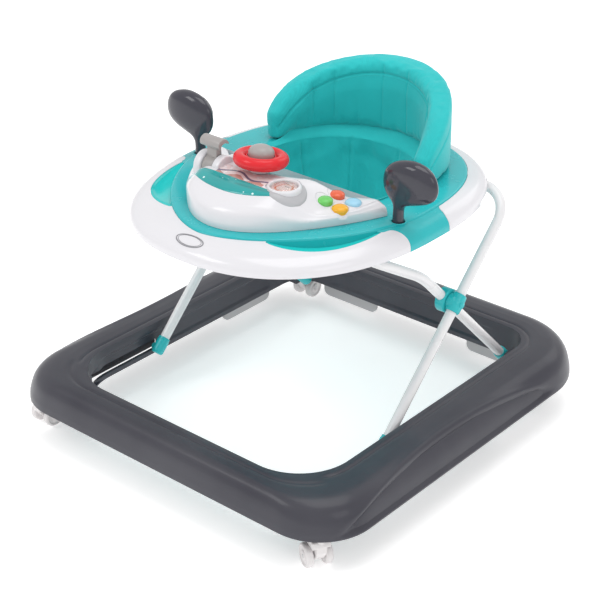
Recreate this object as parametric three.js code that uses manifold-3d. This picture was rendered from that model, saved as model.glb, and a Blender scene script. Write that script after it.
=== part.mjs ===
// A folding baby walker: a moulded base ring on four twin-wheel casters, a scissor frame of two
// bent steel tubes, and a tray with a seat, a toy console, two play mirrors and two snack wells.
// Millimetres, +Z up. The origin is on the floor under the middle of the base ring, -Y is the
// walker's front and +X is the child's left.
import * as THREE from 'three';
import { LoftGeometry } from 'three/addons/geometries/LoftGeometry.js';
import { RoundedBoxGeometry } from 'three/addons/geometries/RoundedBoxGeometry.js';
import { mergeVertices } from 'three/addons/utils/BufferGeometryUtils.js';
import Module from 'manifold-3d';

// ---------------------------------------------------------------- driving dimensions
const GAP = 0.3; // clearance kept where two pieces touch
const PIVOT_PLAY = 0.4; // radial play of a pin in its bore

const BASE_WIDTH = 660; // outside of the base ring, across
const BASE_LENGTH = 700; // outside of the base ring, front to rear
const FRONT_CORNER = 90; // radius of the ring's front corners, outside and inside
const REAR_CORNER = 130; // radius of its rear corners, outside
const REAR_INNER_CORNER = 45;
const BASE_BAR = 85; // width of the ring's hollow bar at its sides and rear
const FRONT_BAR = 54; // width of its front bar
const BASE_RIM_Z = 55; // height of the lower rim above the floor
const BASE_TOP_Z = 107; // height of the ring's inner top edge
const BASE_WALL = 3; // wall of the moulding

const WHEEL_RADIUS = 18.5;
const WHEEL_WIDTH = 11;
const WHEEL_SPACING = 29; // between the middles of a caster's two wheels
const AXLE_RADIUS = 2.5;
const CASTER_TRAIL = 13; // from the swivel axis to the axle
const CASTER_INSET = 15; // from a front corner of the ring to the swivel axis
const REAR_CASTER_INSET = 42;
const STEM_RADIUS = 5;
const STEM_HEIGHT = 14; // of a caster's stem above the ring's rim
const BOSS_HEIGHT = 18; // of the front casters' bosses; the rear ones reach the ring's top

const PAD_LENGTH = 120; // brake pads that stop the walker at a step
const PAD_THICK = 7;
const PAD_CLEARANCE = 12; // floor to pad

const TUBE_RADIUS = 8;
const FOOT_Z = 70; // height of both tube foot axes
const ARM_REACH = 173.5; // from a foot to the crossing, front to rear
const ARM_RISE = 173; // from a foot to the crossing, upwards
const CROSS_Y = 67.5; // the crossing, along the walker
const OUTER_TUBE_X = 232; // side distance of the tube that slides in the base
const TUBE_PITCH = 20; // between the two tubes, side to side
const TUBE_BEND = 50; // bend radius of both tubes
const OUTER_TUBE_TOP = 190; // from the crossing to the outer tube's crossbar
const INNER_BAR_Y = -118; // crossbar of the inner tube under the tray
const INNER_BAR_Z = 378;

const TRAY_HALF_WIDTH = 234;
const TRAY_FRONT = 283; // from the middle to the tray's front edge
const TRAY_REAR = 280;
const TRAY_EDGE_Z = 374; // lower edge of the tray's rim
const DECK_TOP_Z = 404; // flat top of the deck
const DECK_WALL = 3;
const RIM_WALL = 2.6;
const RING_HALF_WIDTH = 207; // the deck's raised ring, inside the rim
const RING_FRONT = 242;
const RING_REAR = 252;
const STRIP_FRONT = 52; // where the rim's front part ends, ahead of the middle
const STRIP_REAR = 40;

const HOLE_Y = 52; // middle of the seat opening
const HOLE_HALF_WIDTH = 130;
const HOLE_HALF_LENGTH = 138;
const SLING_DEPTH = 150; // from the deck to the bottom of the sling
const SLING_WALL = 4;
const LEG_HOLE_RADIUS = 42;

const BACK_Y = 90; // middle of the padded seat back's horseshoe
const BACK_RADIUS = 158; // outside of the horseshoe
const BACK_THICK = 33;
const BACK_HEIGHT = 128; // top of the seat back above the deck

const CONSOLE_HALF_WIDTH = 172;
const CONSOLE_FRONT = 220;
const CONSOLE_HEIGHT = 50; // above the deck, in the middle
const CONSOLE_DROP = 28; // how much lower its two ends are
const CONSOLE_WALL = 3;

const STEER_Y = -108; // steering column on the console
const STEER_RADIUS = 41; // outside of the steering wheel
const STEER_RIM_RADIUS = 9.5; // of the rim's own section
const STEER_TILT = 0.1; // towards the child, in radians
const HORN_RADIUS = 19.5;
const HORN_TRAVEL = 4;

const GEAR_X = -74;
const GEAR_Y = -128;
const DIAL_X = 62;
const DIAL_Y = -129;
const DIAL_RADIUS = 26;
const BUTTON_RADIUS = 11;
const BUTTON_TRAVEL = 2.5;
const BUTTONS = [
  { name: 'orange', x: 107, y: -66, colour: '#f07c57' },
  { name: 'green', x: 108, y: -94, colour: '#8fe08a' },
  { name: 'yellow', x: 134, y: -91, colour: '#ffce4a' },
  { name: 'blue', x: 137, y: -65, colour: '#a9dcf5' },
];

const MIRROR_X = 194;
const MIRROR_Y = -33;
const MIRROR_HEIGHT = 63; // middle of the head above the deck
const MIRROR_HALF_WIDTH = 46;
const MIRROR_HALF_HEIGHT = 34;
const MIRROR_HALF_DEPTH = 17;
const MIRROR_OFFSET = 20; // head's middle, outwards from its stem

// ---------------------------------------------------------------- derived places
const HALF_W = BASE_WIDTH / 2;
const HALF_L = BASE_LENGTH / 2;
const INNER_TUBE_X = OUTER_TUBE_X - TUBE_PITCH;
const CROSS_Z = FOOT_Z + ARM_RISE;
const OUTER_FOOT_Y = CROSS_Y - ARM_REACH;
const INNER_FOOT_Y = CROSS_Y + ARM_REACH;
const ARM_ANGLE = Math.atan2(ARM_RISE, ARM_REACH);
const OUTER_BAR_Y = CROSS_Y + OUTER_TUBE_TOP * Math.cos(ARM_ANGLE);
const OUTER_BAR_Z = CROSS_Z + OUTER_TUBE_TOP * Math.sin(ARM_ANGLE);
const DECK_UNDER_Z = DECK_TOP_Z - DECK_WALL;
const CONSOLE_BASE_Z = DECK_TOP_Z + GAP;
const CONSOLE_TOP_Z = DECK_TOP_Z + CONSOLE_HEIGHT;
const STEER_Z = CONSOLE_TOP_Z + 17;

// ---------------------------------------------------------------- finishes
const finish = (color, roughness, metalness = 0) =>
  new THREE.MeshStandardMaterial({ color, roughness, metalness });
const GRAPHITE = finish('#54535c', 0.42);
const WHITE_GLOSS = finish('#f0eff2', 0.22);
const WHITE_PAINT = finish('#f2f0f1', 0.3);
const TEAL_GLOSS = finish('#20b9c0', 0.25);
const TEAL_FABRIC = finish('#1fb3b3', 0.75);
const PALE_GREY = finish('#c9c8c8', 0.5);
const MID_GREY = finish('#a9a4a3', 0.4);
const DARK_GLOSS = finish('#515159', 0.15);
const RED_GLOSS = finish('#d92a30', 0.3);
const STEEL = finish('#9a9a9c', 0.3, 1);
const CLEAR = finish('#e8e4e4', 0.05);
const MIRROR = finish('#dfe3e6', 0.04, 1);

// ---------------------------------------------------------------- solids
const wasm = await Module();
wasm.setup();

function solid(geometry) {
  const plain = geometry.index ? geometry.toNonIndexed() : geometry.clone();
  for (const name of Object.keys(plain.attributes)) {
    if (name !== 'position') plain.deleteAttribute(name);
  }
  const merged = mergeVertices(plain, 1e-4);
  const body = new wasm.Manifold(new wasm.Mesh({
    numProp: 3,
    vertProperties: new Float32Array(merged.attributes.position.array),
    triVerts: new Uint32Array(merged.index.array),
  }));
  return body;
}

function geometryOf(body) {
  const mesh = body.getMesh();
  const geometry = new THREE.BufferGeometry();
  geometry.setAttribute('position', new THREE.BufferAttribute(mesh.vertProperties, 3));
  geometry.setIndex(new THREE.BufferAttribute(mesh.triVerts, 1));
  geometry.computeVertexNormals();
  return geometry;
}

const join = (first, ...others) => others.reduce((sum, other) => sum.add(other), first);
const cut = (first, ...others) => others.reduce((rest, other) => rest.subtract(other), first);

const walker = new THREE.Group();

function piece(name, body, material) {
  const mesh = new THREE.Mesh(geometryOf(body), material);
  mesh.name = name;
  walker.add(mesh);
  return mesh;
}

// ---------------------------------------------------------------- simple forms
const point = (x, y, z) => new THREE.Vector3(x, y, z);

function cylinder(radius, from, to, sides = 16) {
  const axis = to.clone().sub(from);
  const geometry = new THREE.CylinderGeometry(radius, radius, axis.length(), sides);
  geometry.applyQuaternion(new THREE.Quaternion().setFromUnitVectors(point(0, 1, 0), axis.clone().normalize()));
  geometry.translate(...from.clone().add(to).multiplyScalar(0.5).toArray());
  return solid(geometry);
}

// A shaft along X between two side distances.
const crossPin = (radius, x0, x1, y, z, sides = 16) =>
  cylinder(radius, point(x0, y, z), point(x1, y, z), sides);

function block(x0, x1, y0, y1, z0, z1) {
  const geometry = new THREE.BoxGeometry(x1 - x0, y1 - y0, z1 - z0);
  geometry.translate((x0 + x1) / 2, (y0 + y1) / 2, (z0 + z1) / 2);
  return solid(geometry);
}

// An outline of [y, z] points carried along X from x0 to x1.
function sidePlate(outline, x0, x1) {
  const shape = new THREE.Shape(outline.map(([y, z]) => new THREE.Vector2(y, z)));
  const geometry = new THREE.ExtrudeGeometry(shape, { depth: x1 - x0, bevelEnabled: false, curveSegments: 1 });
  geometry.applyMatrix4(new THREE.Matrix4().makeBasis(point(0, 1, 0), point(0, 0, 1), point(1, 0, 0)));
  geometry.translate(x0, 0, 0);
  return solid(geometry);
}

// A rectangle's outline with round corners.
function roundedOutline(y0, y1, z0, z1, radius, steps = 3) {
  const outline = [];
  for (const [corner, y, z] of [[0, y1, z1], [1, y0, z1], [2, y0, z0], [3, y1, z0]]) {
    const middleY = y === y1 ? y1 - radius : y0 + radius;
    const middleZ = z === z1 ? z1 - radius : z0 + radius;
    for (let i = 0; i <= steps; i += 1) {
      const angle = (corner + i / steps) * Math.PI / 2;
      outline.push([middleY + radius * Math.cos(angle), middleZ + radius * Math.sin(angle)]);
    }
  }
  return outline;
}

function roundedBlock(x0, x1, y0, y1, z0, z1, radius) {
  const geometry = new RoundedBoxGeometry(x1 - x0, y1 - y0, z1 - z0, 2, radius);
  geometry.translate((x0 + x1) / 2, (y0 + y1) / 2, (z0 + z1) / 2);
  return solid(geometry);
}

// A turned piece: profile points are [radius, height], around a vertical axis at x, y.
function turned(profile, x = 0, y = 0, z = 0, sides = 24) {
  const geometry = new THREE.LatheGeometry(profile.map(([r, h]) => new THREE.Vector2(r, h)), sides);
  geometry.rotateX(Math.PI / 2);
  geometry.translate(x, y, z);
  return solid(geometry);
}

// A plan outline of [x, y] points raised from z0 to z1.
function plate(outline, z0, z1) {
  const shape = new THREE.Shape(outline.map(([x, y]) => new THREE.Vector2(x, y)));
  const geometry = new THREE.ExtrudeGeometry(shape, { depth: z1 - z0, bevelEnabled: false, curveSegments: 1 });
  geometry.translate(0, 0, z0);
  return solid(geometry);
}

// Whether a section's points run counterclockwise as seen from the next section.
function windsForward([first, next]) {
  const normal = point(0, 0, 0);
  const step = point(0, 0, 0);
  first.forEach((p, i) => {
    normal.add(p.clone().cross(first[(i + 1) % first.length]));
    step.add(next[i]).sub(p);
  });
  return normal.dot(step) > 0;
}

// A solid skinned over closed sections of points. A ring's last section is its first.
function loft(sections, capped = true) {
  const outward = windsForward(sections) ? sections : sections.map((section) => section.toReversed());
  return solid(new LoftGeometry(outward, { closed: true, capStart: capped, capEnd: capped }));
}

const mirrored = (body) => body.mirror([1, 0, 0]);

// ---------------------------------------------------------------- plan curves
// A superellipse of half sizes a and b (front) or c (rear), at an angle measured from +X.
function ovalPoint(angle, a, front, rear, squareFront, squareRear) {
  const c = Math.cos(angle);
  const s = Math.sin(angle);
  const power = 2 / (s < 0 ? squareFront : squareRear);
  return [
    a * Math.sign(c) * Math.abs(c) ** power,
    (s < 0 ? front : rear) * Math.sign(s) * Math.abs(s) ** power,
  ];
}

const trayEdge = (angle) => ovalPoint(angle, TRAY_HALF_WIDTH, TRAY_FRONT, TRAY_REAR, 2.3, 2.6);
const ringEdge = (angle, inset = 0) =>
  ovalPoint(angle, RING_HALF_WIDTH - inset, RING_FRONT - inset, RING_REAR - inset, 1.65, 2.5);
function holeEdge(angle, inset = 0) {
  const [x, y] = ovalPoint(angle, HOLE_HALF_WIDTH - inset, HOLE_HALF_LENGTH - inset,
    HOLE_HALF_LENGTH - inset, 2.3, 2.2);
  return [x, y + HOLE_Y];
}

// ---------------------------------------------------------------- base ring
// One point of the ring's plan outline: share 0 is its outside and share 1 its inner rim.
const CORNER_STEPS = 7;
const OUTLINE_STEPS = 4 * (CORNER_STEPS + 1);
function baseOutline(share, step, gap = 0) {
  const corner = Math.floor(step / (CORNER_STEPS + 1)) % 4;
  const turn = (step % (CORNER_STEPS + 1)) / CORNER_STEPS;
  const angle = (corner + turn) * Math.PI / 2;
  const rear = corner < 2;
  const sideX = corner === 0 || corner === 3 ? 1 : -1;
  const radius = rear ? REAR_CORNER + (REAR_INNER_CORNER - REAR_CORNER) * share : FRONT_CORNER;
  const x = HALF_W - BASE_BAR * share - gap - radius;
  const y = HALF_L - (rear ? BASE_BAR : FRONT_BAR) * share - gap - radius;
  return [sideX * x + radius * Math.cos(angle), (rear ? y : -y) + radius * Math.sin(angle)];
}

// The bar's section, as [share, height] from the lower outer rim over the top to the inner rim.
const INNER_LEAN = 0.04;
function barSection() {
  const rise = BASE_TOP_Z - BASE_RIM_Z;
  const wall = BASE_WALL / FRONT_BAR;
  const outside = [
    [0, BASE_RIM_Z],
    [0.018, BASE_RIM_Z + 0.27 * rise],
    [0.08, BASE_RIM_Z + 0.6 * rise],
    [0.19, BASE_RIM_Z + 0.83 * rise],
    [0.36, BASE_RIM_Z + 0.96 * rise],
    [0.58, BASE_TOP_Z],
    [0.92, BASE_TOP_Z],
    [1 - INNER_LEAN, BASE_TOP_Z - 4],
    [1, BASE_RIM_Z],
  ];
  const inside = [
    [1 - wall, BASE_RIM_Z],
    [1 - INNER_LEAN - wall, BASE_TOP_Z - 4 - BASE_WALL],
    [0.56, BASE_TOP_Z - 1.5 * BASE_WALL],
    [0.22, BASE_RIM_Z + 0.83 * rise - BASE_WALL],
    [0.08 + wall * 0.6, BASE_RIM_Z + 0.46 * rise],
    [wall, BASE_RIM_Z],
  ];
  return outside.concat(inside);
}

const baseInnerX = (z) =>
  HALF_W - BASE_BAR * (1 - INNER_LEAN * (z - BASE_RIM_Z) / (BASE_TOP_Z - 4 - BASE_RIM_Z));
const SLOT_HALF_HEIGHT = 7;
const CAP_RADIUS = TUBE_RADIUS + 2.4; // of the caps on the tubes' feet
const SLIDE_REACH = 2 * ARM_REACH * (1 / Math.cos(ARM_ANGLE) - 1); // foot travel to a flat frame

function baseRing() {
  const section = barSection();
  const rings = [];
  for (let step = 0; step <= OUTLINE_STEPS; step += 1) {
    rings.push(section.map(([share, z]) => {
      const [x, y] = baseOutline(share, step % OUTLINE_STEPS);
      return point(x, y, z);
    }));
  }
  let ring = loft(rings, false);
  for (const [x, y] of casterPlaces()) {
    const top = y > 0 ? BASE_TOP_Z - BASE_WALL : BASE_RIM_Z + BOSS_HEIGHT;
    ring = ring.add(cylinder(STEM_RADIUS + 4, point(x, y, BASE_RIM_Z), point(x, y, top)));
    ring = cut(ring, cylinder(STEM_RADIUS + PIVOT_PLAY, point(x, y, BASE_RIM_Z - 1),
      point(x, y, BASE_RIM_Z + STEM_HEIGHT + 2)));
  }
  const slot = block(HALF_W - BASE_BAR - 8, HALF_W - BASE_BAR + 30,
    OUTER_FOOT_Y - SLIDE_REACH * 0.98 - 8, OUTER_FOOT_Y + 10, FOOT_Z - SLOT_HALF_HEIGHT, FOOT_Z + SLOT_HALF_HEIGHT);
  const pocket = block(OUTER_TUBE_X - 20, OUTER_TUBE_X + CAP_RADIUS + 1, OUTER_FOOT_Y - SLIDE_REACH - 7,
    FRONT_CORNER - HALF_L + FRONT_BAR, FOOT_Z - CAP_RADIUS - 2.6, FOOT_Z + CAP_RADIUS + 4.6);
  return cut(ring, slot, mirrored(slot), pocket, mirrored(pocket));
}

// ---------------------------------------------------------------- casters
function casterPlaces() {
  const front = FRONT_CORNER - CASTER_INSET;
  const rear = REAR_CORNER - REAR_CASTER_INSET;
  const frontX = HALF_W - FRONT_CORNER + front * 0.64;
  const frontY = FRONT_CORNER - HALF_L - front * 0.768;
  const rearX = HALF_W - REAR_CORNER + rear * 0.64;
  const rearY = HALF_L - REAR_CORNER + rear * 0.768;
  return [[frontX, frontY], [-frontX, frontY], [rearX, rearY], [-rearX, rearY]];
}
const CASTER_NAMES = ['front_left', 'front_right', 'rear_left', 'rear_right'];
// Direction each caster trails in at rest, as an angle from +Y.
const CASTER_TURN = [1.07, 0, 0, 0];

function casterYoke() {
  const half = WHEEL_SPACING / 2 - WHEEL_WIDTH / 2 - 1;
  const leg = sidePlate([[-STEM_RADIUS - 5, BASE_RIM_Z - 8], [-STEM_RADIUS - 5, 30], [CASTER_TRAIL - 7, 11],
    [CASTER_TRAIL + 4, 10], [CASTER_TRAIL + 8, 15], [CASTER_TRAIL + 8, 34], [CASTER_TRAIL, BASE_RIM_Z - 10]], -half, half);
  const hood = sidePlate([[-STEM_RADIUS - 6, 2 * WHEEL_RADIUS + 3], [CASTER_TRAIL + 3, 2 * WHEEL_RADIUS + 3],
    [CASTER_TRAIL - 1, 2 * WHEEL_RADIUS + 8], [STEM_RADIUS + 2, BASE_RIM_Z - 4], [-STEM_RADIUS - 3, BASE_RIM_Z - 4]],
    -half - 6, half + 6);
  const collar = cylinder(STEM_RADIUS + 4, point(0, 0, BASE_RIM_Z - 8), point(0, 0, BASE_RIM_Z - 1));
  const stem = cylinder(STEM_RADIUS, point(0, 0, BASE_RIM_Z - 8), point(0, 0, BASE_RIM_Z + STEM_HEIGHT));
  const axleBore = crossPin(AXLE_RADIUS + GAP, -half - 9, half + 9, CASTER_TRAIL, WHEEL_RADIUS, 16);
  return cut(join(leg, hood, collar, stem), axleBore);
}

function casterWheel(side) {
  const half = WHEEL_WIDTH / 2;
  const profile = [
    [AXLE_RADIUS + GAP, -half], [WHEEL_RADIUS - 1.5, -half], [WHEEL_RADIUS, -half + 2],
    [WHEEL_RADIUS, half - 3], [WHEEL_RADIUS - 3, half], [AXLE_RADIUS + GAP, half], [AXLE_RADIUS + GAP, -half],
  ];
  const geometry = new THREE.LatheGeometry(profile.map(([r, h]) => new THREE.Vector2(r, h)), 22);
  geometry.rotateZ(-side * Math.PI / 2);
  geometry.translate(side * WHEEL_SPACING / 2, CASTER_TRAIL, WHEEL_RADIUS);
  return solid(geometry);
}

function addCasters() {
  const reach = WHEEL_SPACING / 2 + WHEEL_WIDTH / 2 + 0.5;
  const parts = {
    caster_yoke: [casterYoke(), WHITE_GLOSS],
    caster_axle: [crossPin(AXLE_RADIUS, -reach, reach, CASTER_TRAIL, WHEEL_RADIUS, 16), STEEL],
    caster_wheel_a: [casterWheel(1), WHITE_GLOSS],
    caster_wheel_b: [casterWheel(-1), WHITE_GLOSS],
  };
  casterPlaces().forEach(([x, y], corner) => {
    const group = new THREE.Group();
    group.position.set(x, y, 0);
    group.rotation.z = CASTER_TURN[corner];
    for (const [kind, [body, material]] of Object.entries(parts)) {
      const mesh = new THREE.Mesh(geometryOf(body), material);
      mesh.name = `${kind}_${CASTER_NAMES[corner]}`;
      group.add(mesh);
    }
    walker.add(group);
  });
}

// ---------------------------------------------------------------- brake pads
// An upright plate across X with rounded lower corners, its middle at x, y.
function brakePad(x, y, turn) {
  const half = PAD_LENGTH / 2;
  const shape = new THREE.Shape();
  const corner = 12;
  const top = BASE_TOP_Z - BASE_WALL - 9;
  shape.moveTo(-half + 14, top);
  shape.lineTo(-half, BASE_RIM_Z + 8);
  shape.lineTo(-half, PAD_CLEARANCE + corner);
  shape.absarc(-half + corner, PAD_CLEARANCE + corner, corner, Math.PI, 1.5 * Math.PI);
  shape.absarc(half - corner, PAD_CLEARANCE + corner, corner, -0.5 * Math.PI, 0);
  shape.lineTo(half, BASE_RIM_Z + 8);
  shape.lineTo(half - 14, top);
  const geometry = new THREE.ExtrudeGeometry(shape,
    { depth: PAD_THICK, bevelEnabled: false, curveSegments: 5 });
  geometry.translate(0, 0, -PAD_THICK / 2);
  geometry.rotateX(Math.PI / 2);
  geometry.rotateZ(turn);
  geometry.translate(x, y, 0);
  return solid(geometry);
}

// ---------------------------------------------------------------- scissor frame
// A tube bent to a U: from a foot at y, z along its arm, then across to the other side.
function bentTube(radius, sideX, arm, bar, sides = 16) {
  const path = new THREE.CurvePath();
  const corner = point(sideX, bar.y, bar.z);
  const last = arm[arm.length - 1];
  const along = last.clone().sub(corner).normalize().multiplyScalar(TUBE_BEND);
  const bendIn = corner.clone().add(along);
  const bendOut = corner.clone().add(point(-TUBE_BEND, 0, 0));
  const leg = arm.concat([bendIn]);
  const flip = (p) => point(-p.x, p.y, p.z);
  // Control points of a cubic that lies close to a quarter circle.
  const round = 0.448;
  const nearIn = bendIn.clone().lerp(corner, 1 - round);
  const nearOut = bendOut.clone().lerp(corner, 1 - round);
  for (let i = 0; i + 1 < leg.length; i += 1) path.add(new THREE.LineCurve3(leg[i], leg[i + 1]));
  path.add(new THREE.CubicBezierCurve3(bendIn, nearIn, nearOut, bendOut));
  path.add(new THREE.LineCurve3(bendOut, flip(bendOut)));
  path.add(new THREE.CubicBezierCurve3(flip(bendOut), flip(nearOut), flip(nearIn), flip(bendIn)));
  for (let i = leg.length - 1; i > 0; i -= 1) path.add(new THREE.LineCurve3(flip(leg[i]), flip(leg[i - 1])));
  return alongPath(path, radius, sides);
}

// Sweeps a round section along a path whose curves are each stepped by what they need.
function alongPath(path, radius, sides) {
  const stops = [];
  for (const curve of path.curves) {
    const steps = curve.isLineCurve3 ? 1 : 7;
    for (let i = stops.length ? 1 : 0; i <= steps; i += 1) stops.push(curve.getPoint(i / steps));
  }
  const sections = stops.map((stop, i) => {
    const before = stops[Math.max(0, i - 1)];
    const after = stops[Math.min(stops.length - 1, i + 1)];
    const inward = stop.clone().sub(before).normalize();
    const outward = after.clone().sub(stop).normalize();
    const forward = inward.add(outward).normalize();
    const side = sectionSide(forward);
    const up = forward.clone().cross(side).normalize();
    return Array.from({ length: sides }, (_, k) => {
      const turn = 2 * Math.PI * k / sides;
      return stop.clone().addScaledVector(side, radius * Math.cos(turn))
        .addScaledVector(up, radius * Math.sin(turn));
    });
  });
  return loft(sections);
}

// The tubes bend only within the plane of X and their arm, so its normal never turns.
let sweepNormal = point(0, 0, 1);
const sectionSide = (forward) => sweepNormal.clone().cross(forward).normalize().cross(forward).normalize();

function outerTube() {
  sweepNormal = point(0, -Math.sin(ARM_ANGLE), Math.cos(ARM_ANGLE));
  const foot = point(OUTER_TUBE_X, OUTER_FOOT_Y, FOOT_Z);
  return bentTube(TUBE_RADIUS, OUTER_TUBE_X, [foot], { y: OUTER_BAR_Y, z: OUTER_BAR_Z });
}

function innerTube() {
  sweepNormal = point(0, Math.sin(ARM_ANGLE), Math.cos(ARM_ANGLE));
  const foot = point(INNER_TUBE_X, INNER_FOOT_Y, FOOT_Z);
  const knee = point(INNER_TUBE_X, CROSS_Y - 60, CROSS_Z + 60 * Math.tan(ARM_ANGLE));
  return bentTube(TUBE_RADIUS, INNER_TUBE_X, [foot, knee], { y: INNER_BAR_Y, z: INNER_BAR_Z });
}

// A plastic cap on a tube's foot, with the pin that it turns on pointing outwards.
function footCap(x, y, dirY, pinEnd) {
  const up = point(0, dirY * Math.cos(ARM_ANGLE), Math.sin(ARM_ANGLE));
  const foot = point(x, y, FOOT_Z);
  const sleeve = cylinder(CAP_RADIUS, foot.clone().addScaledVector(up, -10), foot.clone().addScaledVector(up, 19));
  const pin = crossPin(5, x + TUBE_RADIUS, pinEnd, y, FOOT_Z);
  const bore = cylinder(TUBE_RADIUS + GAP, foot.clone().addScaledVector(up, -GAP), foot.clone().addScaledVector(up, 25));
  return cut(join(sleeve, pin), bore);
}

function rearClip() {
  const face = baseInnerX(BASE_RIM_Z) - GAP;
  const near = INNER_TUBE_X + CAP_RADIUS + GAP;
  const body = sidePlate(roundedOutline(INNER_FOOT_Y - 14, INNER_FOOT_Y + 12, FOOT_Z - 12, FOOT_Z + 13, 5), near, face);
  return cut(body.intersect(baseHollow()), crossPin(5 + PIVOT_PLAY, near - 1, face + 1, INNER_FOOT_Y, FOOT_Z));
}

// The open space inside the base ring, a gap clear of its inner wall.
function baseHollow() {
  const level = (share, z) => Array.from({ length: OUTLINE_STEPS }, (_, step) => {
    const [x, y] = baseOutline(share, step, GAP);
    return point(x, y, z);
  });
  return loft([level(1, BASE_RIM_Z), level(1 - INNER_LEAN, BASE_TOP_Z - 4)]);
}

const HUB_PLANE_X = INNER_TUBE_X + TUBE_PITCH / 2;

function armCylinder(x, radius, dirY, half) {
  const up = point(0, dirY * Math.cos(ARM_ANGLE), Math.sin(ARM_ANGLE));
  const middle = point(x, CROSS_Y, CROSS_Z);
  return cylinder(radius, middle.clone().addScaledVector(up, -half), middle.clone().addScaledVector(up, half));
}

function hubSaddle() {
  const sleeve = armCylinder(OUTER_TUBE_X, TUBE_RADIUS + 3.5, 1, 15);
  const boss = crossPin(14, HUB_PLANE_X + GAP, OUTER_TUBE_X + 3, CROSS_Y, CROSS_Z, 24);
  const rivet = crossPin(6, OUTER_TUBE_X, OUTER_TUBE_X + TUBE_RADIUS + 6, CROSS_Y, CROSS_Z);
  const keep = block(HUB_PLANE_X + GAP, OUTER_TUBE_X + 40, CROSS_Y - 60, CROSS_Y + 60, CROSS_Z - 60, CROSS_Z + 60);
  return cut(join(sleeve.intersect(keep), boss, rivet), armCylinder(OUTER_TUBE_X, TUBE_RADIUS + GAP, 1, 80));
}

function hubDisc() {
  const disc = crossPin(19, INNER_TUBE_X - 6, HUB_PLANE_X - GAP, CROSS_Y, CROSS_Z, 24);
  const back = crossPin(14, INNER_TUBE_X - TUBE_RADIUS - 4, INNER_TUBE_X, CROSS_Y, CROSS_Z, 24);
  return cut(join(disc, back), armCylinder(INNER_TUBE_X, TUBE_RADIUS + GAP, -1, 80));
}

// ---------------------------------------------------------------- tray
const TRAY_STEPS = 52;

// A closed band round the tray: its section's points come from a function of the angle.
function trayBand(sectionAt) {
  const rings = [];
  for (let step = 0; step <= TRAY_STEPS; step += 1) {
    rings.push(sectionAt(2 * Math.PI * (step % TRAY_STEPS) / TRAY_STEPS));
  }
  return loft(rings, false);
}

// The sloping apron between the tray's lower edge and its raised ring.
const APRON = [[0, 0], [0.02, 0.3], [0.14, 0.58], [0.42, 0.84], [0.75, 0.96], [1, 1]];
function apron(lower = 0, gap = GAP) {
  const rise = DECK_TOP_Z - 2.5 - TRAY_EDGE_Z;
  return trayBand((angle) => {
    const [ox, oy] = trayEdge(angle);
    const [rx, ry] = ringEdge(angle, -gap);
    const at = (share, height) => point(ox + (rx - ox) * share, oy + (ry - oy) * share,
      TRAY_EDGE_Z + rise * height - lower);
    const over = APRON.map(([share, height]) => at(share, height));
    const inset = RIM_WALL / Math.hypot(ox - rx, oy - ry);
    const under = APRON.map(([share, height]) => {
      const p = at(Math.min(1, share + inset), height);
      p.z = Math.max(TRAY_EDGE_Z - lower, p.z - (share === 0 ? 0 : RIM_WALL));
      return p;
    });
    return over.concat(under.reverse());
  });
}

// Plan regions that part the apron into the front rim, the rear rim and the teal side strips.
function frontRegion(grow = 0) {
  const half = TRAY_HALF_WIDTH + 60;
  const corner = RING_HALF_WIDTH - 8;
  const y = -STRIP_FRONT + grow;
  return plate([[-half, -TRAY_FRONT - 50], [half, -TRAY_FRONT - 50], [half, y], [corner + 22, y],
    [corner + 10, y - 5], [corner, y - 16], [corner - 30, y - 16], [corner - 30, y - 20],
    [30 - corner, y - 20], [30 - corner, y - 16], [-corner, y - 16], [-corner - 10, y - 5],
    [-corner - 22, y], [-half, y]], 300, 500);
}

function rearRegion(grow = 0) {
  const half = TRAY_HALF_WIDTH + 60;
  const corner = RING_HALF_WIDTH - 6;
  const y = STRIP_REAR - grow;
  return plate([[-half, y], [-corner - 22, y], [-corner - 8, y + 10], [-corner, y + 30], [30 - corner, y + 34],
    [corner - 30, y + 34], [corner, y + 30], [corner + 8, y + 10], [corner + 22, y], [half, y],
    [half, TRAY_REAR + 60], [-half, TRAY_REAR + 60]], 300, 500);
}

// The snack well: a lens between the ring and the rim at each front corner.
const WELL_FROM = -1.02;
const WELL_TO = -0.36;
const WELL_DEPTH = 30;
function wellOutline(grow) {
  const outline = [];
  const steps = 12;
  for (let i = 0; i <= steps; i += 1) {
    const share = i / steps;
    const angle = WELL_FROM - grow * 0.02 + (WELL_TO - WELL_FROM + grow * 0.04) * share;
    const [x, y] = ringEdge(angle, -1.5);
    const [ox, oy] = trayEdge(angle);
    const out = Math.hypot(ox - x, oy - y);
    const reach = (WELL_DEPTH * Math.sin(Math.PI * share) ** 0.7 + grow) / out;
    outline.push([x + (ox - x) * reach, y + (oy - y) * reach]);
  }
  for (let i = steps; i >= 0; i -= 1) {
    const angle = WELL_FROM - grow * 0.02 + (WELL_TO - WELL_FROM + grow * 0.04) * i / steps;
    outline.push(ringEdge(angle, 6));
  }
  return outline;
}

// Room for the outer tube's crossbar and bends, at every angle of the frame.
function barRoom() {
  const room = crossPin(TUBE_RADIUS + 2, -OUTER_TUBE_X - 12, OUTER_TUBE_X + 12, OUTER_BAR_Y, OUTER_BAR_Z);
  const below = block(-OUTER_TUBE_X - 12, OUTER_TUBE_X + 12, OUTER_BAR_Y - 45, OUTER_BAR_Y + TUBE_RADIUS + 2,
    300, OUTER_BAR_Z + 2);
  return room.add(below);
}

function rimFront(band) {
  const well = plate(wellOutline(GAP), 300, 500);
  return cut(band.intersect(frontRegion()), well, mirrored(well));
}

function rimRear(band) {
  return cut(band.intersect(rearRegion()), barRoom());
}

const snackWell = () => apron(2.4).intersect(plate(wellOutline(0), 300, 500));

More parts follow.
